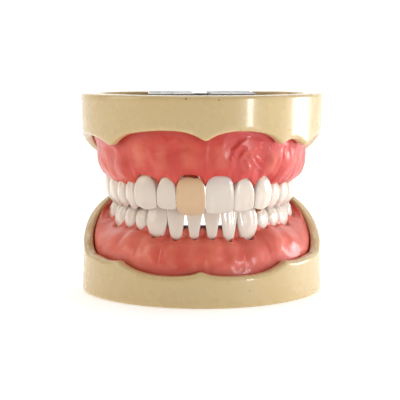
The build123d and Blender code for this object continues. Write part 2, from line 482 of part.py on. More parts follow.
for x in (-FRAME_SCREW_X, FRAME_SCREW_X):
    upper_frame = upper_frame - (Pos(x, FRAME_SCREW_D - Y_OFF, top_z - 1.0) * Cone(2.0, 4.0, 2.0))
    lower_frame = lower_frame - (Pos(x, FRAME_SCREW_D - Y_OFF, 1.5) * Cone(4.0, 2.0, 2.0))
upper_frame, lower_frame = only(upper_frame), only(lower_frame)
upper_frame_screws = [frame_screw(x, True) for x in (-FRAME_SCREW_X, FRAME_SCREW_X)]
lower_frame_screws = [frame_screw(x, False) for x in (-FRAME_SCREW_X, FRAME_SCREW_X)]

hinge_pins, hinge_washers, hinge_nuts = [], [], []
for s in (-1, 1):
    span = lambda a, b: (min(s * a, s * b), max(s * a, s * b))
    pin = cyl_x(AXIS_D, AXIS_Z, PIN_R, *span(UP_EAR_X - 2.6, low_x1 + 0.5)) + cyl_x(AXIS_D, AXIS_Z, 3.5, *span(low_x1, low_x1 + 1.6))
    hinge_pins.append(only(pin - box(*span(low_x1 + 1.0, low_x1 + 2.5), AXIS_D - 4, AXIS_D + 4, AXIS_Z - 0.4, AXIS_Z + 0.4)))
    hinge_washers.append(only(cyl_x(AXIS_D, AXIS_Z, 3.8, *span(up_x1 + 0.3, LOW_EAR_X)) - cyl_x(AXIS_D, AXIS_Z, PIN_R, -30, 30)))
    nx0, nx1 = span(UP_EAR_X - 2.4, UP_EAR_X - 0.3)
    hexa = Pos(nx0, AXIS_D - Y_OFF, AXIS_Z) * Rot(0, 90, 0) * extrude(RegularPolygon(3.9, 6), nx1 - nx0)
    hinge_nuts.append(only(hexa - cyl_x(AXIS_D, AXIS_Z, PIN_R, -30, 30)))

# ---- write ----------------------------------------------------------------------------------------------
nodes = {
    "upper_base": [upper_base], "lower_base": [lower_base], "upper_gum": [upper_gum], "lower_gum": [lower_gum],
    "upper_tooth_screws": upper_screws, "lower_tooth_screws": lower_screws,
    "upper_hinge_frame": [upper_frame], "lower_hinge_frame": [lower_frame],
    "upper_frame_screws": upper_frame_screws, "lower_frame_screws": lower_frame_screws,
    "hinge_pins": hinge_pins, "hinge_washers": hinge_washers, "hinge_nuts": hinge_nuts,
}
for which in ("upper", "lower"):
    for nm, t in teeth[which].items():
        nodes[nm] = [t]
for nm, solids in nodes.items():
    export_step(Compound(children=solids) if len(solids) > 1 else solids[0], f"parts/{nm}.step")
print(len(nodes), "nodes written")
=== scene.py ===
import bpy
import bmesh
import math
import numpy as np
from mathutils import Vector, Matrix, noise


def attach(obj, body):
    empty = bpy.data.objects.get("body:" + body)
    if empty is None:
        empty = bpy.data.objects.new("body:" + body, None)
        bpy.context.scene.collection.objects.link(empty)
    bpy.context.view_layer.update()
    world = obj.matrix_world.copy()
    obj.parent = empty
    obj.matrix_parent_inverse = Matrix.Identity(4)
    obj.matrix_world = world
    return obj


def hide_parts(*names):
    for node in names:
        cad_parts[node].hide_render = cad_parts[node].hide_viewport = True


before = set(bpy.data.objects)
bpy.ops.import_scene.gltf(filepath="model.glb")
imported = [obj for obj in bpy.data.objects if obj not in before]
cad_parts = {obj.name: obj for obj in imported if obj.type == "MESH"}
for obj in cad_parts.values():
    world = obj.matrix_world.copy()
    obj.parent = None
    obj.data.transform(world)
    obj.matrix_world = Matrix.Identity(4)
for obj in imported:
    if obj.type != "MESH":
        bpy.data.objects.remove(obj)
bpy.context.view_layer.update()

# Lengths below are in millimetres; d is the depth behind the front of the bases (y = d - 36.5).
# Each jaw is built standing on its own flat face: w is the height above that face.
# Lower jaw: z = w. Upper jaw: z = 64 - w.
MM = 0.001
Y_OFF = 36.5
TOP = 64.0
RNG = np.random.RandomState(11)

# ---------------------------------------------------------------- outlines
CENTRE_D = 33.0


def table_from_points(points, centre_d):
    pol = [(math.degrees(math.atan2(x, centre_d - d)), math.hypot(x, centre_d - d)) for x, d in points]
    out = []
    for k in range(25):
        a = 7.5 * k
        if a <= pol[0][0]:
            out.append(pol[0][1])
            continue
        for i in range(len(pol) - 1):
            if pol[i][0] <= a <= pol[i + 1][0] + 1e-9:
                (a0, r0), (a1, r1) = pol[i], pol[i + 1]
                x0, y0 = r0 * math.sin(math.radians(a0)), r0 * math.cos(math.radians(a0))
                x1, y1 = r1 * math.sin(math.radians(a1)), r1 * math.cos(math.radians(a1))
                s, c = math.sin(math.radians(a)), math.cos(math.radians(a))
                den = (x1 - x0) * c - (y1 - y0) * s
                t = (y0 * s - x0 * c) / den if abs(den) > 1e-12 else 0.0
                out.append(math.hypot(x0 + t * (x1 - x0), y0 + t * (y1 - y0)))
                break
        else:
            out.append(pol[-1][1])
    for _ in range(2):
        e = [out[1]] + out + [out[-2]]
        out = [0.25 * e[i] + 0.5 * e[i + 1] + 0.25 * e[i + 2] for i in range(len(out))]
    return out


BASE_PTS = [(0, 0), (10, 1.5), (18.1, 4.7), (25.8, 10.2), (31.8, 16.8), (36.0, 24), (38.6, 30.5), (39.3, 36),
            (38.8, 42), (37.2, 48.5), (34.5, 54), (30.5, 58.6), (24.5, 61.4), (17, 62.4), (8, 62.5), (0, 62.5)]
BASE_T = table_from_points(BASE_PTS, CENTRE_D)


def radius(table, deg):
    a = abs((deg + 180.0) % 360.0 - 180.0) / 7.5
    i = min(int(a), 23)
    t = a - i
    g = lambda k: table[-k] if k < 0 else (table[48 - k] if k > 24 else table[k])
    p0, p1, p2, p3 = g(i - 1), g(i), g(i + 1), g(i + 2)
    return 0.5 * (2 * p1 + (p2 - p0) * t + (2 * p0 - 5 * p1 + 4 * p2 - p3) * t * t + (3 * p1 - p0 - 3 * p2 + p3) * t ** 3)


BASE_FIX = CENTRE_D - radius(BASE_T, 0)


def outline(deg):
    r = radius(BASE_T, deg)
    return r * math.sin(math.radians(deg)), CENTRE_D - BASE_FIX - r * math.cos(math.radians(deg))


def outline_normal(deg):
    x1, d1 = outline(deg + 0.5)
    x0, d0 = outline(deg - 0.5)
    ln = math.hypot(x1 - x0, d1 - d0)
    return (d1 - d0) / ln, -(x1 - x0) / ln


def smooth(a, b, x):
    if a > b:
        return 1.0 - smooth(b, a, x)
    t = min(1.0, max(0.0, (x - a) / (b - a)))
    return t * t * (3 - 2 * t)


def curve(points, x):
    """Monotone smooth interpolation through (x, value) points."""
    if x <= points[0][0]:
        return points[0][1]
    if x >= points[-1][0]:
        return points[-1][1]
    n = len(points)
    for i in range(n - 1):
        x0, y0 = points[i]
        x1, y1 = points[i + 1]
        if x <= x1:
            h = x1 - x0
            s = (y1 - y0) / h
            def slope(k):
                if k <= 0 or k >= n - 1:
                    return None
                a = (points[k][1] - points[k - 1][1]) / (points[k][0] - points[k - 1][0])
                b = (points[k + 1][1] - points[k][1]) / (points[k + 1][0] - points[k][0])
                return 0.0 if a * b <= 0 else 2 * a * b / (a + b)
            m0, m1 = slope(i), slope(i + 1)
            m0 = s if m0 is None else m0
            m1 = s if m1 is None else m1
            t = (x - x0) / h
            return ((2 * t ** 3 - 3 * t * t + 1) * y0 + (t ** 3 - 2 * t * t + t) * h * m0
                    + (-2 * t ** 3 + 3 * t * t) * y1 + (t ** 3 - t * t) * h * m1)


# ---------------------------------------------------------------- rim heights (w above the flat face)
LOW_RIM = [(0, 11.05), (0.7, 10.9), (2, 10.45), (4, 10.0), (7, 9.7), (10, 9.55), (14, 9.55), (17.5, 9.85), (20.5, 10.4),
           (23, 11.2), (25, 12.1), (26.3, 12.85), (27.0, 12.85), (28.4, 12.6), (30, 12.5), (32, 12.6), (34, 12.9), (35.6, 13.1), (36.9, 13.3)]
LOW_WING = [(26, 13.3), (28, 13.8), (30, 14.6), (34, 16.7), (38, 18.7), (42, 21.1), (46, 23.4), (50, 25.6), (54, 27.8), (57.5, 29.6), (60, 30.3), (64, 30.5)]
UP_RIM_LEFT = [(0, 50.5), (0.8, 50.75), (2.0, 51.4), (4, 52.3), (6.5, 53.0), (9.5, 53.4), (13, 53.5), (17, 53.3), (20.5, 52.9),
               (23.8, 52.3), (26.0, 51.4), (28.0, 50.0), (29.2, 48.8), (29.9, 48.4), (30.7, 48.8), (32.2, 49.7), (34.2, 50.5), (36.9, 51.1)]
UP_RIM_RIGHT = [(0, 50.5), (0.8, 50.75), (2.0, 51.4), (4, 52.3), (6.5, 52.9), (9.5, 53.3), (13, 53.3), (16, 53.0), (18.6, 52.5),
                (21.0, 51.6), (22.6, 50.5), (23.8, 49.5), (24.5, 49.2), (25.3, 49.6), (26.6, 50.2), (28.2, 50.4), (29.7, 50.1), (31.0, 49.3),
                (32.2, 48.4), (33.0, 48.1), (33.8, 48.6), (35.2, 50.0), (36.9, 51.1)]
UP_WING = [(26, 51.1), (29, 51.2), (33, 50.9), (36, 50.2), (39, 49.3), (42, 48.2), (45, 46.9), (48, 45.5), (51, 44.1), (54, 42.9), (57, 41.9), (60, 41.4), (64, 41.2)]
REAR_X = 20.0


def rim_w(which, x, d):
    """Height of the rim of a base above its own flat face, at a point of its outline."""
    ax = abs(x)
    if which == "lower":
        # the middle point and the right hump stand a little to the right of the centre line
        xs = x + 1.6 * (1 - smooth(8, 22, ax)) + (-1.3 if x < 0 else 0.3) * smooth(14, 24, ax) * (1 - smooth(30, 36, ax)) * (-1 if x < 0 else 1)
        w = curve(LOW_RIM, abs(xs)) if d < 26 else curve(LOW_WING, d)
        floor = 7.0
    else:
        z = curve(UP_RIM_LEFT if x < 0 else UP_RIM_RIGHT, ax) if d < 26 else curve(UP_WING, d)
        w = TOP - z
        floor = 11.0
    if d > 50 and ax < REAR_X + 1.2:
        k = ax - REAR_X
        if k <= 0:
            return floor
        r = 1.2
        return w - r + math.sqrt(max(0.0, r * r - (r - min(k, r)) ** 2))
    return w


# ---------------------------------------------------------------- mesh helpers
def to_world(which, pts):
    """(x, d, w) in millimetres -> metres in the row frame."""
    p = np.asarray(pts, float).reshape(-1, 3)
    out = np.empty_like(p)
    out[:, 0] = p[:, 0]
    out[:, 1] = p[:, 1] - Y_OFF
    out[:, 2] = p[:, 2] if which == "lower" else TOP - p[:, 2]
    return out * MM


def make_object(name, verts, faces, material, body, smooth_shade=True, merge=0.0, values=None):
    mesh = bpy.data.meshes.new(name)
    mesh.from_pydata([tuple(v) for v in verts], [], [tuple(int(i) for i in f) for f in faces])
    if values is not None:
        at = mesh.attributes.new(values[0], "FLOAT", "POINT")
        at.data.foreach_set("value", np.asarray(values[1], np.float32))
    bm = bmesh.new()
    bm.from_mesh(mesh)
    if merge:
        bmesh.ops.remove_doubles(bm, verts=bm.verts, dist=merge)
    bmesh.ops.dissolve_degenerate(bm, edges=bm.edges, dist=1e-8)
    bmesh.ops.recalc_face_normals(bm, faces=bm.faces)
    bm.to_mesh(mesh)
    bm.free()
    if smooth_shade:
        mesh.polygons.foreach_set("use_smooth", [True] * len(mesh.polygons))
    mesh.update()
    obj = bpy.data.objects.new(name, mesh)
    bpy.context.scene.collection.objects.link(obj)
    if material is not None:
        mesh.materials.append(material)
    if body:
        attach(obj, body)
    return obj


def grid_faces(rows, cols, close_rows=False, close_cols=True, flip=False):
    """Faces of a rows x cols vertex grid."""
    faces = []
    for i in range(rows if close_rows else rows - 1):
        a, b = i * cols, ((i + 1) % rows) * cols
        for j in range(cols if close_cols else cols - 1):
            k = (j + 1) % cols
            f = (a + j, a + k, b + k, b + j)
            faces.append(f[::-1] if flip else f)
    return faces


# ---------------------------------------------------------------- materials
def srgb(r, g, b, a=1.0):
    def lin(c):
        c /= 255.0
        return c / 12.92 if c <= 0.04045 else ((c + 0.055) / 1.055) ** 2.4
    return (lin(r), lin(g), lin(b), a)


class Mat:
    """Small helper to write a node material."""

    def __init__(self, name):
        self.m = bpy.data.materials.new(name)
        self.m.use_nodes = True
        self.t = self.m.node_tree
        self.b = self.t.nodes["Principled BSDF"]
        self.co = self.t.nodes.new("ShaderNodeTexCoord").outputs["Object"]

    def node(self, kind, **kw):
        n = self.t.nodes.new(kind)
        for k, v in kw.items():
            setattr(n, k, v)
        return n

    def link(self, a, b):
        self.t.links.new(a, b)

    def noise(self, scale, detail=3.0, rough=0.55, dist=0.0, co=None):
        n = self.node("ShaderNodeTexNoise")
        n.inputs["Scale"].default_value = scale
        n.inputs["Detail"].default_value = detail
        n.inputs["Roughness"].default_value = rough
        n.inputs["Distortion"].default_value = dist
        self.link(co or self.co, n.inputs["Vector"])
        return n.outputs["Fac"]

    def voronoi(self, scale, feature="F1", co=None):
        n = self.node("ShaderNodeTexVoronoi", feature=feature)
        n.inputs["Scale"].default_value = scale
        self.link(co or self.co, n.inputs["Vector"])
        return n.outputs["Distance"]

    def ramp(self, fac, stops, interp="LINEAR"):
        n = self.node("ShaderNodeValToRGB")
        n.color_ramp.interpolation = interp
        e = n.color_ramp.elements
        while len(e) < len(stops):
            e.new(0.5)
        for k, (p, c) in enumerate(stops):
            e[k].position = p
            e[k].color = c if len(c) == 4 else tuple(c) + (1,)
        self.link(fac, n.inputs["Fac"])
        return n.outputs["Color"]

    def remap(self, fac, a, b, c, d, smoothstep=False):
        n = self.node("ShaderNodeMapRange", clamp=True)
        if smoothstep:
            n.interpolation_type = "SMOOTHSTEP"
        for k, v in zip(("From Min", "From Max", "To Min", "To Max"), (a, b, c, d)):
            n.inputs[k].default_value = v
        self.link(fac, n.inputs["Value"])
        return n.outputs["Result"]

    def math(self, op, a, b=None):
        n = self.node("ShaderNodeMath", operation=op)
        for k, v in enumerate((a, b)):
            if v is None:
                continue
            if isinstance(v, (int, float)):
                n.inputs[k].default_value = v
            else:
                self.link(v, n.inputs[k])
        return n.outputs[0]

    def mix(self, fac, a, b, mode="MIX"):
        n = self.node("ShaderNodeMix", data_type="RGBA", blend_type=mode)
        for sock, v in ((n.inputs[0], fac), (n.inputs[6], a), (n.inputs[7], b)):
            if isinstance(v, (int, float)):
                sock.default_value = v
            elif isinstance(v, tuple):
                sock.default_value = v
            else:
                self.link(v, sock)
        return n.outputs[2]

    def bump(self, height, strength, distance, normal=None):
        n = self.node("ShaderNodeBump")
        n.inputs["Strength"].default_value = strength
        n.inputs["Distance"].default_value = distance
        self.link(height, n.inputs["Height"])
        if normal is not None:
            self.link(normal, n.inputs["Normal"])
        return n.outputs["Normal"]

    def axis(self, k):
        n = self.node("ShaderNodeSeparateXYZ")
        self.link(self.co, n.inputs[0])
        return n.outputs[k]

    def set(self, name, value):
        s = self.b.inputs[name]
        if isinstance(value, (int, float, tuple)):
            s.default_value = value
        else:
            self.link(value, s)


def ivory_material():
    m = Mat("ivory_plastic")
    big = m.noise(38, 3, 0.5)
    fine = m.noise(420, 4, 0.6)
    base = m.ramp(big, [(0.30, srgb(206, 180, 129)), (0.52, srgb(208, 182, 131)), (0.74, srgb(209, 184, 134))])
    base = m.mix(m.remap(fine, 0.45, 0.8, 0, 0.04), base, srgb(197, 168, 117))
    # scattered small dark pits
    pits = m.voronoi(330)
    sparse = m.noise(150, 2, 0.5)
    pit = m.math("MULTIPLY", m.remap(pits, 0.05, 0.13, 1, 0), m.remap(sparse, 0.63, 0.68, 0, 1))
    base = m.mix(pit, base, srgb(128, 102, 66))
    m.set("Base Color", base)
    m.set("Roughness", m.remap(m.noise(160, 2, 0.5), 0.3, 0.7, 0.24, 0.30))
    m.set("IOR", 1.5)
    m.set("Coat Weight", 0.4)
    m.set("Coat Roughness", 0.09)
    m.set("Subsurface Weight", 0.06)
    m.set("Subsurface Radius", (0.0016, 0.001, 0.0005))
    m.set("Subsurface Scale", 1.0)
    peel = m.noise(1500, 3, 0.6)
    n1 = m.bump(peel, 0.30, 0.00003)
    wave = m.noise(95, 2, 0.5)
    n2 = m.bump(wave, 0.12, 0.0002, n1)
    n3 = m.bump(m.math("MULTIPLY", pit, -1.0), 0.7, 0.00018, n2)
    m.set("Normal", n3)
    return m.m


def gum_material(name, lift):
    m = Mat(name)
    big = m.noise(70, 4, 0.55, 0.6)
    mid = m.noise(210, 4, 0.6, 0.8)
    base = m.ramp(big, [(0.30, srgb(198, 56, 45)), (0.47, srgb(207, 66, 53)), (0.60, srgb(216, 82, 65)), (0.78, srgb(224, 105, 84))])
    base = m.mix(m.remap(mid, 0.45, 0.75, 0, 0.22), base, srgb(232, 124, 102))
    # painted light and shade: the vertex attribute is positive over the root bulges and negative low down by the base
    # wall
    at = m.node("ShaderNodeAttribute", attribute_name="painted_light_and_shade")
    painted_light_and_shade = m.math("MULTIPLY", at.outputs["Fac"], m.remap(m.noise(110, 3, 0.55), 0.3, 0.65, 0.35, 1.0))
    # painted highlight: lighter peach painted over the root bulges
    base = m.mix(m.remap(painted_light_and_shade, 0.05, 0.8, 0, 0.6), base, srgb(232, 140, 106))
    # painted shade: deeper red painted low down by the base wall
    base = m.mix(m.remap(at.outputs["Fac"], -1.0, -0.05, 0.62, 0.0), base, srgb(184, 46, 40))
    # painted cool light: the side towards the cool right-hand lamps is painted pinker
    painted_cool_light_tint = m.math("MULTIPLY", m.remap(m.axis(0), -0.004, 0.016, 0.0, 1.0, True), m.remap(m.noise(60, 2, 0.5), 0.3, 0.6, 0.5, 1.0))
    base = m.mix(m.math("MULTIPLY", painted_cool_light_tint, 0.42), base, srgb(206, 78, 82))
    fleck = m.noise(900, 3, 0.6)
    base = m.mix(m.remap(fleck, 0.56, 0.74, 0, 0.14), base, srgb(190, 52, 46))
    # painted light: this copy is mixed lighter to make up for the light the upper jaw keeps off the lower gum
    if lift:
        base = m.mix(m.remap(big, 0.25, 0.75, lift * 0.7, lift), base, srgb(250, 150, 122))
    m.set("Base Color", base)
    m.set("Roughness", m.remap(m.noise(300, 4, 0.6), 0.3, 0.7, 0.28, 0.48))
    m.set("IOR", 1.45)
    m.set("Coat Weight", 0.2)
    m.set("Coat Roughness", 0.14)
    m.set("Subsurface Weight", 0.22)
    m.set("Subsurface Radius", (0.0022, 0.0007, 0.0005))
    m.set("Subsurface Scale", 1.0)
    wob = m.noise(240, 3, 0.55, 0.5)
    n1 = m.bump(wob, 0.34, 0.00022)
    stip = m.noise(1150, 3, 0.6)
    n2 = m.bump(stip, 0.22, 0.00004, n1)
    m.set("Normal", n2)
    return m.m


def tooth_material(name, neck, body, tip, z_neck, z_tip, rough=(0.16, 0.26), sss=0.18, painted_socket_shade=None):
    """Enamel-like resin: warmer at the neck, cooler at the tip, faint vertical streaks."""
    m = Mat(name)
    z = m.axis(2)
    wob = m.noise(180, 3, 0.55, 0.4)
    zz = m.math("ADD", z, m.remap(wob, 0.3, 0.7, -0.0007, 0.0007))
    g = m.remap(zz, z_neck * MM, z_tip * MM, 0, 1)
    col = m.ramp(g, [(0.0, neck), (0.32, body), (0.72, body), (1.0, tip)])
    mott = m.noise(320, 4, 0.6)
    col = m.mix(m.remap(mott, 0.4, 0.75, 0, 0.20), col, tuple(0.86 * c for c in neck[:3]) + (1,))
    # painted shade: a dark red-brown band on the root stands in for the shade in the socket above the tooth
    if painted_socket_shade is not None:
        z_socket_shade, shade = painted_socket_shade
        band = m.remap(zz, (z_socket_shade - 0.25) * MM, (z_socket_shade + 0.35) * MM, 0, 1, True)
        col = m.mix(band, col, shade)
    m.set("Base Color", col)
    m.set("Roughness", m.remap(m.noise(240, 3, 0.6), 0.3, 0.7, rough[0], rough[1]))
    m.set("IOR", 1.52)
    m.set("Coat Weight", 0.35)
    m.set("Coat Roughness", 0.06)
    m.set("Subsurface Weight", sss)
    m.set("Subsurface Radius", (0.0014, 0.0011, 0.0008))
    m.set("Subsurface Scale", 1.0)
    n1 = m.bump(m.noise(420, 2, 0.5), 0.35, 0.00007)
    m.set("Normal", n1)
    return m.m


def steel_material(name, tone, stretch, rough=(0.26, 0.42)):
    m = Mat(name)
    mp = m.node("ShaderNodeMapping")
    mp.inputs["Scale"].default_value = stretch
    m.link(m.co, mp.inputs["Vector"])
    lines = m.noise(260, 4, 0.6, 0.0, mp.outputs["Vector"])
    smear = m.noise(60, 3, 0.5)
    a = tuple(0.82 * c for c in tone[:3]) + (1,)
    col = m.mix(m.remap(lines, 0.35, 0.7, 0, 1), tone, a)
    m.set("Base Color", m.mix(m.remap(smear, 0.5, 0.8, 0, 0.25), col, srgb(150, 146, 140)))
    m.set("Metallic", 1.0)
    m.set("Roughness", m.remap(lines, 0.3, 0.7, rough[0], rough[1]))
    m.set("Normal", m.bump(lines, 0.25, 0.00003))
    return m.m


IVORY = ivory_material()
GUM = gum_material("gum_resin", 0.0)
# the lower gum is the same resin painted lighter, as painted light where the upper jaw shades it
GUM_LOWER_PAINTED_LIGHT = gum_material("gum_resin_lower_painted_light", 0.30)
STEEL = steel_material("brushed_sheet", srgb(150, 151, 153), (1.0, 0.05, 0.05), (0.34, 0.5))
SCREW = steel_material("screw_steel", srgb(190, 190, 192), (1.0, 1.0, 1.0), (0.22, 0.34))

# ---------------------------------------------------------------- bases
STATIONS = list(np.linspace(-180, 180, 721)[:-1])


def angle_at_x(x):
    """Angle of the rear outline where |x| has this value."""
    a, b = 120.0, 180.0
    for _ in range(50):
        c = (a + b) / 2
        if outline(c)[0] > x:
            a = c
        else:
            b = c
    return (a + b) / 2


def build_base(which):
    floor = 7.0
    recess = 3.4 if which == "lower" else 3.0
    notch = 20.4 if which == "lower" else 18.3
    notch_w = 2.5 if which == "lower" else 2.2
    fillet_r = 1.2 if which == "lower" else 1.0
    draft = 0.9
    wall = 3.6
    angles = set(round(a, 4) for a in STATIONS)
    for x in [REAR_X + k for k in (-0.02, 0.004, 0.03, 0.08, 0.16, 0.28, 0.45, 0.7, 1.0, 1.22)] + [notch - 0.01, notch + 0.01]:
        a = angle_at_x(x)
        angles.add(round(a, 5))
        angles.add(round(-a, 5))
    angles = sorted(angles)
    rows = []
    for a in angles:
        x, d = outline(a)
        nx, nd = outline_normal(a)
        r = rim_w(which, x, d)
        zb = notch_w if (d > 50 and abs(x) < notch) else 0.0
        prof = [(6.0, recess + 0.01), (6.0, (recess + 0.01) * 0.6 + zb * 0.4), (6.0, min(zb + 0.5, recess)), (5.85, min(zb + 0.15, recess - 0.02)), (5.5, zb), (3.4, zb)]
        for k in range(7):
            t = math.pi / 2 * k / 6
            prof.append((fillet_r * (1 - math.sin(t)), zb + fillet_r * (1 - math.cos(t))))
        w0 = zb + fillet_r
        ro, ri = 1.25, min(0.95, max(0.02, r - floor))
        w1 = r - ro
        for k in range(1, 9):
            w = w0 + (w1 - w0) * k / 9
            prof.append((draft * w / 34.0, w))
        off = draft * w1 / 34.0
        for k in range(8):
            t = math.pi / 2 * k / 7
            prof.append((off + ro * (1 - math.cos(t)), w1 + ro * math.sin(t)))
        for k in range(6):
            t = math.pi / 2 * k / 5
            prof.append((wall - ri * (1 - math.sin(t)), r - ri * (1 - math.cos(t))))
        for k in range(1, 5):
            prof.append((wall, (r - ri) + (floor - 0.01 - (r - ri)) * k / 4))
        prof += [(5.6, floor - 0.01), (8.0, floor - 0.01), (8.0, recess + 0.01)]
        rows.append([(x - nx * i, d - nd * i, w) for i, w in prof])
    n, c = len(rows), len(rows[0])
    pts = to_world(which, np.array(rows).reshape(-1, 3))
    ring = make_object(f"{which}_base_wall", pts, grid_faces(n, c, close_rows=True), IVORY, None)

    # floor slab inside the wall, with the seat for the hinge frame and the counterbores
    steps = 180
    edge = []
    for k in range(steps):
        a = -180 + 360 * k / steps
        x, d = outline(a)
        nx, nd = outline_normal(a)
        edge.append((x - nx * 5.0, d - nd * 5.0))
    verts = [(x, d, recess) for x, d in edge] + [(x, d, floor) for x, d in edge]
    faces = [list(range(steps)), list(range(steps, 2 * steps))[::-1]] + [(k, steps + k, steps + (k + 1) % steps, (k + 1) % steps) for k in range(steps)]
    slab = make_object(f"{which}_base_deck", to_world(which, verts), faces, IVORY, None, smooth_shade=False)
    hw = notch + 0.5
    bx = [(-hw, 29.2), (hw, 29.2), (hw, 58.5), (-hw, 58.5)]
    verts = [(x, d, notch_w) for x, d in bx] + [(x, d, floor - 1.0) for x, d in bx]
    faces = [(0, 1, 2, 3), (7, 6, 5, 4), (0, 4, 5, 1), (1, 5, 6, 2), (2, 6, 7, 3), (3, 7, 4, 0)]
    boss = make_object("boss_tool", to_world(which, verts), faces, None, None, smooth_shade=False)
    cut_v, cut_f = [], []
    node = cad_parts[f"{which}_tooth_screws"]
    for cx, cd in screw_centres(node):
        base = len(cut_v)
        for w in (0.5, recess + 2.0):
            cut_v += [(cx + 2.2 * math.cos(2 * math.pi * k / 32), cd + 2.2 * math.sin(2 * math.pi * k / 32), w) for k in range(32)]
        cut_f += [[base + k for k in range(32)], [base + 32 + k for k in range(31, -1, -1)]]
        cut_f += [(base + k, base + 32 + k, base + 32 + (k + 1) % 32, base + (k + 1) % 32) for k in range(32)]
    cutter = make_object("bore_tool", to_world(which, cut_v), cut_f, None, None, smooth_shade=False)
    for tool, op in ((boss, "UNION"), (cutter, "DIFFERENCE")):
        mod = slab.modifiers.new("b", "BOOLEAN")
        mod.operation = op
        mod.solver = "MANIFOLD"
        mod.object = tool
        bpy.context.view_layer.update()
        dg = bpy.context.evaluated_depsgraph_get()
        new = bpy.data.meshes.new_from_object(slab.evaluated_get(dg))
        slab.modifiers.clear()
        slab.data = new
    for tool in (boss, cutter):
        bpy.data.objects.remove(tool)
    cut = slab.data
    clean = bpy.data.meshes.new(slab.name)
    clean.from_pydata([tuple(v.co) for v in cut.vertices], [], [tuple(f.vertices) for f in cut.polygons])
    clean.materials.append(IVORY)
    slab.data = clean
    for o in (ring, slab):
        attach(o, f"{which}_jaw")
    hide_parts(f"{which}_base")
    return ring, slab


def screw_centres(node):
    """(x, d) centre of each separate screw of a node."""
    bm = bmesh.new()
    bm.from_mesh(node.data)
    bmesh.ops.remove_doubles(bm, verts=bm.verts, dist=1e-6)
    bm.verts.ensure_lookup_table()
    seen = set()
    centres = []
    for start in bm.verts:
        if start.index in seen:
            continue
        seen.add(start.index)
        part, todo = [], [start]
        while todo:
            v = todo.pop()
            part.append((v.co.x / MM, v.co.y / MM + Y_OFF))
            for e in v.link_edges:
                o = e.other_vert(v)
                if o.index not in seen:
                    seen.add(o.index)
                    todo.append(o)
        lo, hi = np.min(part, 0), np.max(part, 0)
        c = (lo + hi) / 2
        if all(math.hypot(c[0] - x, c[1] - d) > 1.5 for x, d in centres):
            centres.append((float(c[0]), float(c[1])))
    bm.free()
    return centres


# ---------------------------------------------------------------- teeth
# Contact points (x, d) from the midline back, for the right (viewer's left) and left side of each arch.
ARCH = {
    ("upper", -1): [(-0.05, 6.5), (-9.05, 7.85), (-14.9, 11.4), (-21.65, 16.75), (-25.0, 23.3), (-27.75, 30.5), (-30.7, 40.3), (-31.9, 49.4)],
    ("upper", 1): [(0.10, 6.5), (8.95, 7.85), (15.5, 11.6), (20.95, 17.55), (24.65, 24.1), (27.9, 30.9), (30.8, 40.5), (31.8, 49.5)],
    ("lower", -1): [(-0.60, 9.2), (-6.0, 9.6), (-11.7, 11.8), (-18.0, 15.9), (-21.75, 21.7), (-25.3, 28.2), (-29.0, 38.4), (-30.5, 48.8)],
    ("lower", 1): [(-0.55, 9.2), (4.85, 9.5), (10.15, 11.4), (16.75, 15.7), (20.85, 21.7), (24.4, 28.1), (28.9, 38.5), (30.3, 48.9)],
}
NAMES = ["central_incisor", "lateral_incisor", "canine", "first_premolar", "second_premolar", "first_molar", "second_molar"]
KIND = ["incisor", "incisor", "canine", "premolar", "premolar", "molar", "molar"]
# width of the gap left at each contact point, midline first
GAPS = {("upper", -1): [-0.16, 0.02, 0.02, 0.04, 0.05, 0.05, 0.05, 0.05], ("upper", 1): [-0.16, 0.02, 0.02, 0.04, 0.05, 0.05, 0.05, 0.05],
        ("lower", -1): [0.34, 0.34, 0.10, 0.06, 0.06, 0.06, 0.06, 0.06], ("lower", 1): [0.34, 0.06, 0.12, 0.06, 0.06, 0.06, 0.06, 0.06]}
# tip height w, gum margin w at the middle of the tooth, per side
TIP = {("upper", -1): [36.15, 34.65, 35.15, 35.85, 35.8, 36.2, 36.1], ("upper", 1): [35.75, 35.3, 35.3, 35.75, 35.7, 36.2, 36.2],
       ("lower", -1): [29.5, 29.8, 30.0, 28.85, 28.6, 28.5, 28.5], ("lower", 1): [29.5, 29.6, 29.8, 28.85, 28.6, 28.5, 28.5]}
MARGIN = {("upper", -1): [23.9, 24.8, 24.5, 27.0, 27.5, 27.2, 25.6], ("upper", 1): [24.3, 25.3, 25.1, 27.7, 28.1, 27.8, 26.4],
          ("lower", -1): [19.9, 19.5, 20.0, 21.7, 21.6, 20.8, 22.4], ("lower", 1): [19.9, 19.2, 19.3, 22.0, 21.9, 21.1, 22.4]}
# papilla height w at each contact point, midline first
PAPILLA = {("upper", -1): [28.0, 28.3, 27.3, 27.9, 28.5, 28.4, 27.4, 25.4], ("upper", 1): [28.0, 27.4, 28.7, 28.6, 29.0, 28.9, 28.2, 26.2],
           ("lower", -1): [23.2, 23.2, 23.3, 23.6, 23.7, 23.7, 23.9, 24.2], ("lower", 1): [23.2, 23.1, 23.3, 23.6, 23.7, 23.7, 23.9, 24.2]}

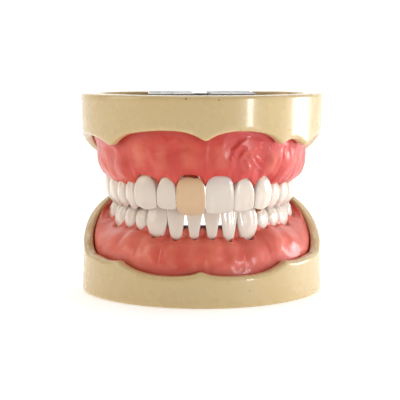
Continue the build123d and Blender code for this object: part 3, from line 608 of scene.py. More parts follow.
# (share of height, width share, outer face, inner face) from neck to tip
FORM = {
    ("upper", 0): [(0, .40, -.75, 4.0), (.07, .52, -.25, 4.8), (.11, .64, .02, 5.2), (.18, .79, .16, 5.6), (.30, .925, .26, 5.6), (.44, .975, .25, 4.9), (.56, 1.0, .16, 4.1), (.78, 1.0, -.02, 2.8), (.9, 1.0, -.22, 2.1), (1, .96, -.5, 1.55)],
    ("tan", 0): [(0, .56, -.45, 4.0), (.05, .67, -.15, 4.8), (.10, .78, .06, 5.2), (.18, .87, .20, 5.4), (.31, .945, .26, 5.2), (.45, .98, .20, 4.6), (.57, 1.0, .12, 3.9), (.85, 1.0, -.15, 2.3), (1, .95, -.45, 1.55)],
    ("upper", 1): [(0, .30, -.6, 3.2), (.07, .40, -.15, 3.9), (.13, .53, .12, 4.4), (.20, .67, .30, 4.8), (.33, .86, .42, 5.0), (.50, .975, .38, 4.5), (.72, 1.0, .15, 3.2), (.9, 1.0, -.12, 2.1), (1, .98, -.35, 1.6)],
    ("upper", 2): [(0, .30, -.4, 3.6), (.07, .40, .15, 4.3), (.12, .51, .45, 4.9), (.18, .65, .75, 5.4), (.30, .83, 1.00, 6.0), (.46, .95, 1.05, 5.9), (.70, 1.0, .70, 4.8), (.88, 1.0, .20, 3.3), (1, .955, -.15, 2.4)],
    ("upper", 3): [(0, .66, -.7, 8.0), (.15, .80, .10, 8.8), (.36, .95, .50, 9.2), (.62, 1.0, .30, 9.0), (.84, .97, -.45, 8.3), (1, .84, -1.5, 7.2)],
    ("upper", 4): [(0, .66, -.7, 8.0), (.15, .80, .05, 8.8), (.36, .95, .42, 9.2), (.62, 1.0, .25, 9.0), (.84, .97, -.45, 8.3), (1, .84, -1.5, 7.3)],
    ("upper", 5): [(0, .78, -.8, 9.6), (.15, .87, .05, 10.4), (.36, .97, .42, 10.9), (.62, 1.0, .20, 10.7), (.84, .97, -.55, 10.0), (1, .88, -1.7, 8.7)],
    ("upper", 6): [(0, .78, -.8, 9.4), (.15, .87, .05, 10.2), (.36, .97, .42, 10.7), (.62, 1.0, .20, 10.5), (.84, .97, -.55, 9.8), (1, .88, -1.7, 8.5)],
    ("lower", 0): [(0, .34, -.75, 4.0), (.07, .44, -.35, 4.8), (.14, .53, -.05, 5.1), (.26, .61, .10, 5.1), (.43, .71, .15, 4.5), (.65, .85, .05, 3.2), (.86, 1.0, -.12, 2.0), (1, .975, -.3, 1.5)],
    ("lower", 1): [(0, .36, -.75, 4.2), (.07, .47, -.30, 5.0), (.14, .57, .0, 5.3), (.26, .69, .15, 5.3), (.43, .80, .2, 4.7), (.65, .92, .08, 3.3), (.86, 1.0, -.12, 2.0), (1, .965, -.3, 1.5)],
    ("lower", 2): [(0, .38, -.5, 4.8), (.07, .50, .05, 5.6), (.14, .63, .40, 6.1), (.26, .77, .65, 6.4), (.46, .93, .80, 5.9), (.68, 1.0, .50, 4.7), (.87, .99, .05, 3.2), (1, .92, -.35, 2.2)],
    ("lower", 3): [(0, .58, -.7, 6.6), (.15, .74, .20, 7.4), (.36, .91, .60, 7.7), (.62, 1.0, .40, 7.5), (.84, .97, -.35, 6.9), (1, .84, -1.4, 5.8)],
    ("lower", 4): [(0, .60, -.7, 7.0), (.15, .76, .20, 7.8), (.36, .92, .60, 8.1), (.62, 1.0, .40, 7.9), (.84, .97, -.35, 7.3), (1, .85, -1.4, 6.2)],
    ("lower", 5): [(0, .76, -.7, 8.6), (.15, .86, .20, 9.4), (.36, .96, .60, 9.9), (.62, 1.0, .35, 9.8), (.84, .97, -.45, 9.2), (1, .89, -1.6, 8.0)],
    ("lower", 6): [(0, .76, -.7, 8.4), (.15, .86, .20, 9.2), (.36, .96, .60, 9.7), (.62, 1.0, .35, 9.6), (.84, .97, -.45, 9.0), (1, .89, -1.6, 7.8)],
}


def tooth_frame(which, side, i):
    (x0, d0), (x1, d1) = ARCH[(which, side)][i], ARCH[(which, side)][i + 1]
    w = math.hypot(x1 - x0, d1 - d0)
    tx, td = (x1 - x0) / w, (d1 - d0) / w
    nx, nd = (td, -tx) if side > 0 else (-td, tx)
    return ((x0 + x1) / 2, (d0 + d1) / 2), (tx, td), (nx, nd), w


def turn_tan(which, side, i, j):
    t = tooth_frame(which, side, i)[1]
    if j < 0:
        t2 = (t[0], -t[1])
    elif j > 6:
        t2 = t
    else:
        t2 = tooth_frame(which, side, j)[1]
    return math.tan(math.acos(max(-1.0, min(1.0, t[0] * t2[0] + t[1] * t2[1]))) / 2)


def drop(kind, which, side, i, m, f):
    """How far the tip line falls below the tip height at (m, f), both -1..1; m > 0 is distal, f > 0 is outer."""
    if kind == "incisor":
        mesial, distal = (0.4, 0.8) if which == "upper" else (0.2, 0.25)
        if i == 1 and which == "upper":
            mesial, distal = 0.4, (0.75 if side < 0 else 0.9)
        a = abs(m)
        base = (mesial if m < 0 else distal) * a ** 5 + (0.18 * max(0.0, m) if which == "upper" else 0.1 * max(0.0, m))
        if i == 0 and which == "upper" and side < 0:
            base = (0.35 * a ** 6 if m < 0 else 0.85 * a ** 4) + 0.08 * a * a
        return base + 0.03 * math.cos(m * math.pi * 3)
    if kind == "canine":
        c = m + 0.10
        steep = (0.95, 0.6) if which == "upper" else (1.2, 0.9)
        return steep[0 if c > 0 else 1] * (math.sqrt(c * c + 0.02) - 0.14) + (0.7 if m > 0 else 0.3) * abs(m) ** 5
    if kind == "premolar":
        a = math.sqrt(m * m + 0.03) - 0.17
        outer = 0.75 * a + 0.55 * abs(m) ** 5
        inner = 0.5 + 0.8 * a
        t = smooth(-0.9, 0.9, f)
        return inner * (1 - t) + outer * t + 0.5 * (1 - min(1.0, abs(f) * 1.6)) * abs(m) ** 2
    a = abs(abs(m) - 0.46)
    outer = 0.55 * a / 0.5 + 0.6 * max(0.0, abs(m) - 0.75)
    inner = 0.35 + 0.8 * a / 0.5
    t = smooth(-0.9, 0.9, f)
    return (inner * (1 - t) + outer * t) * (0.6 + 0.4 * min(1.0, abs(f) * 1.5)) + 0.35 * (1 - min(1.0, abs(f) * 1.5))


def build_tooth(which, side, i, material):
    kind = KIND[i]
    mid, t, n, w_full = tooth_frame(which, side, i)
    gaps = GAPS[(which, side)]
    half = (w_full - gaps[i] / 2 - gaps[i + 1] / 2) / 2
    shift = (gaps[i] - gaps[i + 1]) / 4          # towards the smaller gap
    form = FORM[("tan", 0)] if (which == "upper" and side < 0 and i == 0) else FORM[(which, i)]
    tip, margin = TIP[(which, side)][i], MARGIN[(which, side)][i]
    neck = margin - 0.9
    if which == "upper" and side < 0 and i == 0:
        neck = 24.75           # this one stands a little out of its socket
    turns = [turn_tan(which, side, i, i - 1), turn_tan(which, side, i, i + 1)]
    cols = 72
    tan = which == "upper" and side < 0 and i == 0
    W = [(a, b) for a, b, _, _ in form]
    FO = [(a, c) for a, _, c, _ in form]
    FI = [(a, c) for a, _, _, c in form]
    posterior = kind in ("premolar", "molar")
    seed = (i + 1) * 1.7 + (3.1 if side > 0 else 0) + (7.7 if which == "upper" else 0)
    skew = 0.05 * math.sin(seed * 2.1)

    def shape(h, phi, shrink=1.0):
        ws, fo, fi = curve(W, h), curve(FO, h), curve(FI, h)
        fw = fo - (fo + fi) * (0.30 if posterior else (0.18 if kind == "canine" else 0.12))
        fc = (fo - fi) / 2
        c, s = math.cos(phi), math.sin(phi)
        hh = min(1.0, max(0.0, h))
        p_out = 2.35 + 0.75 * hh if not posterior else 2.4 + 0.6 * hh
        p_in = (2.9 if which == "upper" else 2.1 + 0.3 * hh) if not posterior else 2.4 + 0.5 * hh
        p = p_out if s > 0 else p_in
        m = math.copysign(abs(c) ** (2 / p), c)
        f = math.copysign(abs(s) ** (2 / p), s)
        narrow = {"incisor": 0.30, "canine": 0.34, "premolar": 0.16, "molar": 0.10}[kind]
        wb = ws
        if which == "upper" and not posterior and f < 0:
            # behind the face the tooth stays as wide as its contacts
            narrow = 0.12
            full = smooth(0.04, 0.26, hh)
            if i == 0 and m < 0:
                # a short open gap between the two central teeth
                full = smooth(-0.04, 0.10, hh) * (1 - smooth(0.20, 0.27, hh)) + smooth(0.42, 0.52, hh)
            wb = ws + (max(ws, 0.985 * full) - ws) * smooth(0.02, 0.30, -f)
        mm = m * half * wb * (1 - narrow * max(0.0, -f))
        if tan and m > 0:
            mm *= 1 - 0.10 * smooth(0.7, 1.0, h)
        if which == "upper" and i == 1 and m > 0:
            mm *= 1 - 0.15 * (1 - smooth(0.22, 0.62, h))
        if which == "upper" and i == 2:
            mm *= 1 - 0.08 * (1 - smooth(0.15, 0.45, h))
        ff = fw + ((fo - fw) if f > 0 else (fi + fw)) * f
        # outer face relief: shallow grooves between three lobes
        if f > 0:
            lobes = 0.03 if kind in ("incisor", "canine") else (0.10 if kind == "premolar" else 0.0)
            ff += lobes * math.cos(m * math.pi * 2.7) * f * smooth(0.2, 0.85, hh) * (1 - smooth(0.9, 1.0, abs(m)))
            if kind == "molar":
                ff -= 0.32 * math.exp(-(m / 0.13) ** 2) * f * smooth(0.35, 0.95, hh)
            if kind == "canine":
                ff += 0.22 * math.exp(-((m + 0.05) / 0.35) ** 2) * f * smooth(0.1, 0.6, hh)
        if f < 0 and kind in ("incisor", "canine"):
            ff += 0.5 * (1 - m * m) * (-f) * smooth(0.25, 0.6, hh) * (1 - smooth(0.8, 1.0, hh))
        # the contact side stays inside the line between neighbours
        mm -= mm / half * max(0.0, -ff) * turns[1 if mm > 0 else 0]
        return (mm + shift) * shrink, (fc + (ff - fc) * shrink), m, f

    rows = []
    # root
    root_levels = [(-9.0, 0.52), (-7.5, 0.56), (-5.0, 0.66), (-3.0, 0.75), (-1.6, 0.85), (-0.7, 0.93)]
    if which == "upper" and side < 0 and i == 0:
        root_levels = [(-9.0, 0.50), (-7.5, 0.55), (-4.0, 0.66), (-2.0, 0.74), (-1.0, 0.80), (-0.45, 0.83), (-0.12, 0.88), (-0.02, 0.95)]
    for dw, sc in root_levels:
        row = []
        for k in range(cols):
            phi = 2 * math.pi * k / cols
            mm, ff, _, _ = shape(0.0, phi)
            fc = (FO[0][1] - FI[0][1]) / 2
            row.append((mm * sc, fc + (ff - fc) * sc, neck + dw))
        rows.append(row)
    levels = 40
    for q in range(levels + 1):
        h = q / levels
        h = 1 - (1 - h) ** 1.25
        row = []
        for k in range(cols):
            phi = 2 * math.pi * k / cols
            mm, ff, m, f = shape(h, phi)
            e = tip - drop(kind, which, side, i, m, f)
            w = neck + (e - neck) * h
            # the neck line is not dipped between the teeth
            w += 0.0
            row.append((mm + skew * (w - neck) * 0.12, ff, w))
        rows.append(row)
    # tip
    last = rows[-1]
    cm = sum(p[0] for p in last) / cols
    cf = sum(p[1] for p in last) / cols
    if not posterior:
        for s, up in ((0.86, 0.10), (0.66, 0.17), (0.42, 0.20), (0.16, 0.21)):
            row = []
            for k, (m, f, w) in enumerate(last):
                row.append((cm + (m - cm) * (0.985 if s > 0.8 else 0.96 + 0.02 * s), 0, 0))
            # shrink across the thin direction only
            new = []
            for k, (m, f, w) in enumerate(last):
                mx = cm + (m - cm) * (1 - (1 - s) * 0.16)
                new.append((mx, cf + (f - cf) * s, w + up * (1 - abs((m - cm) / (half + 1e-6)) ** 6)))
            rows.append(new)
    else:
        for s in (0.93, 0.85, 0.74, 0.62, 0.5, 0.38, 0.26, 0.14, 0.05):
            new = []
            for k, (m, f, w) in enumerate(last):
                phi = 2 * math.pi * k / cols
                ring_drop = tip - w
                deep = 1.75 if kind == "molar" else 1.55
                ridge = 0.5 + 0.5 * math.cos((4 if kind == "molar" else 2) * (phi - (math.pi / 4 if kind == "molar" else math.pi / 2)))
                prof = (1 - s) ** (0.95 + 0.55 * ridge)
                lift = 0.22 * math.sin(math.pi * min(1.0, (1 - s) * 5.0)) if s > 0.8 else 0.0
                ww = tip - (ring_drop * s ** 0.7 + deep * prof) + lift * (0.3 + 0.7 * ridge)
                new.append((cm + (m - cm) * s, cf + (f - cf) * s, ww))
            rows.append(new)
    n_rows = len(rows)
    flat = [p for r in rows for p in r]
    # small natural tilt and turn
    pts = []
    for m, f, w in flat:
        pts.append((mid[0] + t[0] * m + n[0] * f, mid[1] + t[1] * m + n[1] * f, w))
    faces = grid_faces(n_rows, cols)
    faces.append(list(range(cols)))
    faces.append([(n_rows - 1) * cols + k for k in range(cols)][::-1])
    word = "right" if side < 0 else "left"
    node = f"{which}_{word}_{NAMES[i]}"
    o = make_object(f"tooth_{node}", to_world(which, pts), faces, material, f"{which}_jaw")
    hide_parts(node)
    return o


# ---------------------------------------------------------------- gums
def base_inner_table(inset=3.95):
    tab = []
    for k in range(1441):
        a = -180 + k * 0.25
        x, d = outline(a)
        nx, nd = outline_normal(a)
        x, d = x - nx * inset, d - nd * inset
        tab.append((math.degrees(math.atan2(x, CENTRE_D - d)), math.hypot(x, CENTRE_D - d)))
    tab.sort()
    return np.array(tab)


INNER = base_inner_table()


def room(px, pd, nx, nd):
    """Distance from a point of the arch, along its normal, to the inside of the wall."""
    lo, hi = 0.0, 16.0
    for _ in range(40):
        q = (lo + hi) / 2
        x, d = px + nx * q, pd + nd * q
        a = math.degrees(math.atan2(x, CENTRE_D - d))
        r = math.hypot(x, CENTRE_D - d)
        if r < np.interp(a, INNER[:, 0], INNER[:, 1]):
            lo = q
        else:
            hi = q
    return (lo + hi) / 2


def arch_stations(which):
    """Stations from the back right round the front to the back left."""
    seq = []
    ext = {"upper": [(30.6, 53.2), (29.0, 56.4)], "lower": [(29.7, 52.9), (28.4, 56.4)]}[which]
    pts = []          # (x, d)
    tags = []         # per segment: (side, tooth index or None)
    R, L = ARCH[(which, -1)], ARCH[(which, 1)]
    pts += [(-x, d) for x, d in reversed(ext)]
    tags += [(-1, None), (-1, None)]
    pts += list(reversed(R[1:]))
    tags += [(-1, i) for i in range(6, -1, -1)]
    mx = (R[0][0] + L[0][0]) / 2
    pts.append((mx, R[0][1]))
    tags += [(1, i) for i in range(7)]
    pts += L[1:]
    tags += [(1, None), (1, None)]
    pts += list(ext)
    P = np.array(pts, float)
    n = len(P)

    def cr(i, t):
        p0 = P[max(i - 1, 0)] if i > 0 else 2 * P[0] - P[1]
        p1, p2 = P[i], P[i + 1]
        p3 = P[i + 2] if i + 2 < n else 2 * P[-1] - P[-2]
        return 0.5 * (2 * p1 + (p2 - p0) * t + (2 * p0 - 5 * p1 + 4 * p2 - p3) * t * t + (3 * p1 - p0 - 3 * p2 + p3) * t ** 3)

    def pos(u):
        i = min(int(u), n - 2)
        return cr(i, u - i)

    out = []
    for i in range(n - 1):
        side, tooth = tags[i]
        steps = 30 if tooth is not None and tooth < 3 else (24 if tooth is not None else 9)
        for k in range(steps):
            t = k / steps
            out.append((i + t, side, tooth, t))
    out.append((n - 1 - 1e-9, 1, None, 1.0))
    res = []
    for u, side, tooth, t in out:
        p = pos(u)
        a, b = pos(max(0.0, u - 0.25)), pos(min(n - 1 - 1e-9, u + 0.25))
        tg = (b - a) / np.linalg.norm(b - a)
        nx, nd = tg[1], -tg[0]           # outward: front for the middle of the arch
        m = None
        if tooth is not None:
            m = 2 * t - 1                # -1 at the start of the segment
            if side < 0:
                m = -m                   # distal positive
        res.append({"u": u, "p": p, "n": (nx, nd), "t": tg, "side": side, "tooth": tooth, "m": m, "f": t, "seg": int(min(u, n - 2))})
    return res, n - 1


def jitter(x, d, w, scale, amp, seed):
    return amp * noise.noise(Vector((x * scale + seed, d * scale - seed, w * scale)))


def gum_value(which, st, n_seg):
    """Margin height, outer and inner offsets of the gum for one station."""
    side, tooth, m = st["side"], st["tooth"], st["m"]
    if tooth is None:
        # behind the last tooth
        e = (st["u"] if side < 0 else n_seg - st["u"]) / 2.0     # 0 at the very end, 1 at the last tooth
        pap = PAPILLA[(which, side)][7]
        k = smooth(0.0, 0.55, e)
        if which == "lower":
            wm = pap + 3.2 * smooth(1.0, 0.45, e) - (1 - smooth(0.0, 0.3, e)) * 5.0
        else:
            wm = pap - 1.2 + 1.2 * smooth(0.4, 1.0, e) - (1 - k) * 5.0
        return {"wm": wm, "wl": wm, "qo": -0.6 - (1 - k) * 1.5, "qi": -8.6 + (1 - k) * 3.0, "jug": 0.0, "end": k, "emb": 1.0, "am": 1.0, "mar": MARGIN[(which, side)][6]}
    mar, pap = MARGIN[(which, side)][tooth], PAPILLA[(which, side)]
    p = pap[tooth] if m < 0 else pap[tooth + 1]
    am = abs(m)
    if which == "upper":
        power = {0: 3.3, 1: 2.2, 2: 2.7}.get(tooth, 2.2)
        wm = mar + (p - mar) * am ** power
    else:
        wm = mar + (p - mar) * (smooth(0.20, 0.90, am) if tooth < 3 else 0.5 * am ** 1.9 + 0.5 * smooth(0.2, 0.85, am))
    form = FORM[(which, tooth)]
    fo, fi = form[1][2], form[1][3]
    if which == "lower":
        emb = smooth(0.20, 0.92, am) if tooth < 3 else smooth(0.35, 1.0, am)
    else:
        emb = smooth(0.45, 1.0, am)
    deep = 1.2 if which == "upper" else {0: 1.6, 1: 1.4, 2: 0.9, 3: 0.5, 4: 0.4, 5: 0.3, 6: 0.25}[tooth]
    stand = 0.16 if which == "upper" else 0.22
    if which == "upper" and side < 0 and tooth == 0:
        stand = 0.40
    fo = curve([(a, c) for a, _, c, _ in form], 0.09)
    fi = curve([(a, c) for a, _, _, c in form], 0.09)
    qo = fo + stand - (fo + stand + deep) * emb
    # inner margin
    mar_l = mar - (0.8 if tooth < 3 else 0.3)
    wl = mar_l + (p - 0.3 - mar_l) * am ** 2.2
    qi = -(fi + 0.5) + 1.1 * emb
    jug = math.cos(math.pi * m / 2) ** 2 - 0.5
    strong = {0: 0.55, 1: 0.6, 2: 1.0, 3: 0.5, 4: 0.4, 5: 0.28, 6: 0.2}[tooth]
    return {"wm": wm, "wl": wl, "qo": qo, "qi": qi, "jug": jug * strong, "end": 1.0, "emb": emb, "am": am, "mar": mar}


# raised folds in the outer face of the upper gum, as (x, z) lines with height and half width
FOLDS = [([(8.4, 40.8), (8.1, 44.3), (9.0, 47.4), (11.0, 49.3), (14.4, 50.0), (17.6, 49.6)], 0.55, 0.72),
         ([(10.4, 42.8), (10.6, 45.0), (11.8, 46.8), (13.8, 47.8), (16.7, 48.0)], 0.34, 0.50),
         ([(12.3, 44.6), (13.0, 43.0), (13.6, 41.4)], 0.34, 0.42),
         ([(14.2, 44.9), (15.3, 43.3), (16.6, 41.9), (17.6, 40.8)], 0.32, 0.40),
         ([(15.9, 45.0), (17.2, 43.8), (18.6, 42.8)], 0.26, 0.45),
         ([(20.9, 50.0), (20.6, 47.5), (21.1, 45.0), (20.7, 42.5)], 0.22, 0.45),
         ([(22.9, 50.4), (22.7, 48.2), (23.3, 46.0), (22.9, 43.2)], 0.30, 0.42),
         ([(24.9, 50.2), (25.3, 48.0), (24.8, 45.4), (25.2, 43.0)], 0.30, 0.42),
         ([(27.3, 49.6), (27.0, 47.4), (27.5, 45.0), (27.2, 42.4)], 0.24, 0.40),
         ([(15.2, 44.2), (16.1, 43.6), (17.0, 42.6)], -0.34, 0.35)]


def fold_height(x, z):
    if x < 4.5 or x > 30 or z < 38.5:
        return 0.0
    out = 0.0
    for line, height, half in FOLDS:
        best, at = 1e9, 0.0
        n = len(line) - 1
        for k in range(n):
            (x0, z0), (x1, z1) = line[k], line[k + 1]
            dx, dz = x1 - x0, z1 - z0
            t = min(1.0, max(0.0, ((x - x0) * dx + (z - z0) * dz) / (dx * dx + dz * dz)))
            r = math.hypot(x - x0 - dx * t, z - z0 - dz * t)
            if r < best:
                best, at = r, (k + t) / n
        half *= 1.3
        if best < 4 * half:
            ripple = 1 + 0.45 * noise.noise(Vector((x * 0.9, z * 0.9, 3.0)))
            out += height * ripple * math.exp(-(best / half) ** 2) * smooth(-0.12, 0.25, at) * (1 - smooth(0.75, 1.12, at))
    wrinkle = smooth(8.5, 11.5, x) * (1 - smooth(17, 20, x)) * smooth(39, 41, z) * (1 - smooth(49, 51, z))
    hollow = smooth(5.0, 9.0, x) * (1 - smooth(17.5, 21.5, x)) * smooth(39.5, 43.0, z) * (1 - smooth(50.6, 53.0, z))
    return out - 0.26 * hollow + 0.14 * wrinkle * noise.noise(Vector((x * 0.75 + 5, z * 0.75, 1.0)))


def build_gum(which):
    stations, n_seg = arch_stations(which)
    floor = 7.0
    rows = []
    painted_light_and_shade = []
    N_FACE = 56
    upper = which == "upper"
    values = [gum_value(which, st, n_seg) for st in stations]
    raw = np.array([g["wm"] for g in values])
    neck = np.array([g["mar"] for g in values])
    inner_q, inner_w = np.array([g["qi"] for g in values]), np.array([g["wl"] for g in values])
    pos_s = np.concatenate([[0], np.cumsum([math.dist(a["p"], b["p"]) for a, b in zip(stations, stations[1:])])])
    soft = [float((raw * k).sum() / k.sum()) for k in (np.exp(-((pos_s - c) / 3.2) ** 2) for c in pos_s)]
    necks = [float((neck * k).sum() / k.sum()) for k in (np.exp(-((pos_s - c) / 3.2) ** 2) for c in pos_s)]
    calm = [(float((inner_q * k).sum() / k.sum()), float((inner_w * k).sum() / k.sum())) for k in (np.exp(-((pos_s - c) / 3.5) ** 2) for c in pos_s)]
    for st, g, wm_soft, neck_soft, (qi_soft, wl_soft) in zip(stations, values, soft, necks, calm):
        px, pd = st["p"]
        nx, nd = st["n"]
        D = room(px, pd, nx, nd)
        bx, bd = px + nx * D, pd + nd * D
        # rim height where this station meets the wall
        ang = math.degrees(math.atan2(bx, CENTRE_D - BASE_FIX - bd))
        ox, od = outline(ang)
        wr = rim_w(which, ox, od) if not (od > 50 and abs(ox) < REAR_X + 1.3) else (30.0 if not upper else 22.4)
        wr = max(wr, floor + 1.0)
        wr = min(wr, 28.6 if not upper else g["wm"] - 3.0)
        qo, wm = g["qo"], g["wm"]
        end = g["end"]
        # mid-tooth offset used by the body of the gum: the groove between teeth fades towards the wall
        smooth_qo = 0.75
        prof = []
        painted_light_and_shade_row = [0.0] * 4
        # hidden part behind the wall
        lift = 0.0
        for k in range(4):
            prof.append((D, floor + (wr - 1.6 - floor) * k / 3))
        N = N_FACE
        w_st = wr - 0.9
        rise = smooth(0.5, 7.0, wm - w_st)
        side_k = smooth(16, 30, abs(px))
        def slope_of(v):
            v = min(1.0, max(0.0, v))
            if upper:
                return (1 - v ** (2.5 + 2.4 * side_k)) ** (0.82 - 0.12 * side_k) * (1 - 0.27 * side_k * smooth(0.0, 0.32, v))
            return (1 - v ** (2.9 - 0.7 * side_k)) ** (0.88 + 0.06 * side_k)

        for k in range(N + 1):
            tt = k / N
            w = w_st + (wm_soft - w_st) * tt + (wm - wm_soft) * smooth(0.5, 1.0, tt) * tt
            near = smooth(0.45, 1.0, tt)
            gl = slope_of((w - w_st) / max(1e-6, wm_soft - w_st)) * (1 - near) + slope_of(tt) * near
            if not upper:
                # one smooth face up to just under the necks, then the gum turns in between the teeth
                bend = neck_soft - 1.3
                w = w_st + (bend - w_st) * tt / 0.7 if tt < 0.7 else bend + (wm - bend) * (tt - 0.7) / 0.3
                near = smooth(bend - 0.3, bend + 2.4, w) * rise + near * (1 - rise)
                gl = slope_of((w - w_st) / max(1e-6, neck_soft + 0.6 - w_st))
            if not upper:
                # where the wall is as high as the teeth the gum is a shelf, not a slope
                gl = gl * rise + (1 - tt) * (1 - rise)
                w = w * rise + (w_st + (wm_soft - w_st) * smooth(0.0, 1.0, tt) + (wm - wm_soft) * smooth(0.6, 1.0, tt) + 0.9 * math.sin(math.pi * min(1.0, tt * 1.6)) * (1 - tt)) * (1 - rise)
            q_in = smooth_qo * (1 - near) + qo * near
            q = q_in + (D - q_in) * gl
            amp = 0.62 * smooth(0.08, 0.55, tt) * (1 - 0.45 * smooth(0.8, 1.0, tt))
            if not upper:
                amp *= 1.35 * (1 - smooth(0.66, 0.9, tt) * rise)
            q += g["jug"] * amp * (0.8 if upper else 1.0)
            # rolled free edge
            roll = math.exp(-((tt - 0.93) / 0.055) ** 2)
            q += (0.12 if upper else 0.22) * roll * (1 - 0.6 * g["emb"])
            q = min(q, D)
            # midline fold
            ax = abs(px - (-0.2 if not upper else 0.05))
            far = 0.9 if upper else 0.62
            fren = math.exp(-(ax / 0.34) ** 2) * smooth(0.02, 0.1, tt) * (1 - smooth(0.25, far, tt))
            crease = math.exp(-((ax - 1.4) / 0.7) ** 2) * smooth(0.02, 0.1, tt) * (1 - smooth(0.2, 0.55, tt))
            q += (0.55 if upper else 0.40) * fren - 0.16 * crease
            if upper:
                q += fold_height(px + nx * q, TOP - w)
            x, d = px + nx * q, pd + nd * q
            am = smooth(0.05, 0.2, tt) * (1 - 0.5 * smooth(0.8, 1.0, tt))
            q += am * (jitter(x, d, w, 0.16, 0.6, 3.0) + jitter(x, d, w, 0.42, 0.14, 9.0))
            q = min(q, D + 0.0)
            prof.append((q, w))
            # painted light and shade per vertex: positive over the root bulges (painted highlight), negative near the
            # base wall (painted shade)
            painted_light_and_shade_row.append(max(0.0, g["jug"] + 0.15) * smooth(0.15, 0.4, tt) * (1 - smooth(0.75, 0.97, tt)) - (1 - smooth(0.04, 0.34, tt)))
        # crest, through the teeth, to the inner margin
        qi, wl = g["qi"], g["wl"]
        q0, w0 = prof[-1]
        for k in range(1, 13):
            tt = k / 12
            q = q0 + (qi - q0) * tt
            base = w0 + (wl - w0) * smooth(0, 1, tt)
            sag = -0.55 * math.sin(math.pi * tt) * (1 - g["emb"] * 0.7)
            edge = 0.12 * math.sin(math.pi * min(1.0, tt * 6)) if tt < 1 / 6 else 0.0
            prof.append((q, base + sag + edge))
        q1, w1 = prof[-1]
        inner = []
        if not upper:
            q_low = q1 - 4.4 * end
            for k in range(1, 19):
                tt = k / 18
                fade = smooth(0.0, 0.45, tt)
                qa, wa = q1 + (qi_soft - q1) * fade, w1 + (wl_soft - w1) * fade
                ql = q_low + (qi_soft - q1) * fade
                q = qa + (ql - qa) * (0.35 * tt + 0.65 * smooth(0, 1, tt))
                w = wa + (floor - 0.02 - wa) * (tt ** 0.92)
                bul = 0.5 * math.sin(math.pi * tt) * end
                x, d = px + nx * q, pd + nd * q
                inner.append((q - bul + jitter(x, d, w, 0.3, 0.35, 2.0) * math.sin(math.pi * tt), w))
            prof += inner
            rows.append([(px + nx * q, pd + nd * q, w) for q, w in prof])
            painted_light_and_shade += painted_light_and_shade_row + [0.0] * (len(prof) - len(painted_light_and_shade_row))
        else:
            row = [(px + nx * q, pd + nd * q, w) for q, w in prof]
            # palate: from the inner margin to the middle line
            xl, dl = px + nx * q1, pd + nd * q1
            u = st["u"]
            c = n_seg / 2
            back = abs(u - c) / c                      # 0 at the front, 1 at the back
            dm = 20.5 + (57.6 - 20.5) * back ** 0.85
            wp_mid = 14.4 - 0.8 * smooth(0.5, 1.0, back)
            front_flat = 1 - smooth(0.0, 0.35, back)
            for k in range(1, 29):
                tt = k / 28
                x = xl * (1 - tt)
                d = dl + (dm - dl) * (tt ** (1.0 + 0.3 * front_flat))
                rise = (1 - (1 - tt) ** 2.1)
                w = w1 + (wp_mid - w1) * rise ** (1.0 + 0.35 * front_flat)
                # folds behind the front teeth
                dist = math.hypot(x * 0.9, d - 13.0)
                mask = smooth(15.5, 18.0, d) * (1 - smooth(26, 32, d)) * smooth(0.8, 2.2, abs(x)) * (1 - smooth(8.5, 12, abs(x)))
                w += 0.45 * mask * math.sin(dist * 2.05 + 0.25 * math.sin(x * 1.3)) 
                w += 0.35 * math.exp(-(x / 0.7) ** 2) * smooth(20, 24, d) * (1 - smooth(46, 56, d))
                w += (jitter(x, d, w, 0.3, 0.3, 2.0)) * math.sin(math.pi * tt)
                row.append((x, d, w))
            # roof, hidden in the base
            for k in range(0, 5):
                tt = 1 - k / 5
                row.append((px + nx * D + (0 - (px + nx * D)) * tt, pd + nd * D + (dm - (pd + nd * D)) * tt, floor))
            rows.append(row)
            painted_light_and_shade += painted_light_and_shade_row + [0.0] * (len(row) - len(painted_light_and_shade_row))
    n, c = len(rows), len(rows[0])
    pts = np.array(rows).reshape(-1, 3)
    if upper:
        mid_col = 4 + (N_FACE + 1) + 12 + 28 - 1
        faces = []
        for i in range(n - 1):
            for j in range(c):
                if j == mid_col:
                    continue
                k = (j + 1) % c
                faces.append((i * c + j, i * c + k, (i + 1) * c + k, (i + 1) * c + j))
        faces.append([j for j in range(c)])
        faces.append([(n - 1) * c + j for j in range(c)][::-1])
        # middle line vertices have x = 0 on both sides and are merged
        o = make_object("upper_gum_body", to_world(which, pts), faces, GUM, "upper_jaw", merge=1e-6, values=("painted_light_and_shade", painted_light_and_shade))
    else:
        faces = grid_faces(n, c)
        faces.append([j for j in range(c)])
        faces.append([(n - 1) * c + j for j in range(c)][::-1])
        o = make_object("lower_gum_body", to_world(which, pts), faces, GUM_LOWER_PAINTED_LIGHT, "lower_jaw", values=("painted_light_and_shade", painted_light_and_shade))
    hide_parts(f"{which}_gum")
    return o


# ---------------------------------------------------------------- build everything
WHITE_UP = tooth_material("tooth_upper", srgb(225, 207, 187), srgb(227, 213, 199), srgb(218, 206, 195), 40.5, 28.0)
WHITE_LOW = tooth_material("tooth_lower", srgb(227, 209, 191), srgb(230, 215, 201), srgb(218, 206, 196), 19.0, 29.5)
WHITE_ONE = tooth_material("tooth_pearl", srgb(228, 210, 204), srgb(231, 219, 205), srgb(222, 210, 197), 39.6, 28.0)
# the dark band from w 39.15 up on this tooth is painted shade in its socket
TAN = tooth_material("tooth_tan", srgb(225, 189, 148), srgb(226, 188, 147), srgb(216, 177, 139), 40.0, 28.0, rough=(0.3, 0.42), sss=0.1,
                     painted_socket_shade=(39.15, srgb(150, 62, 46)))

for which in ("lower", "upper"):
    build_base(which)
    build_gum(which)
    for side in (-1, 1):
        for i in range(7):
            mat = WHITE_UP if which == "upper" else WHITE_LOW
            if which == "upper" and side < 0 and i == 0:
                mat = TAN
            if which == "upper" and side > 0 and i == 0:
                mat = WHITE_ONE
            build_tooth(which, side, i, mat)
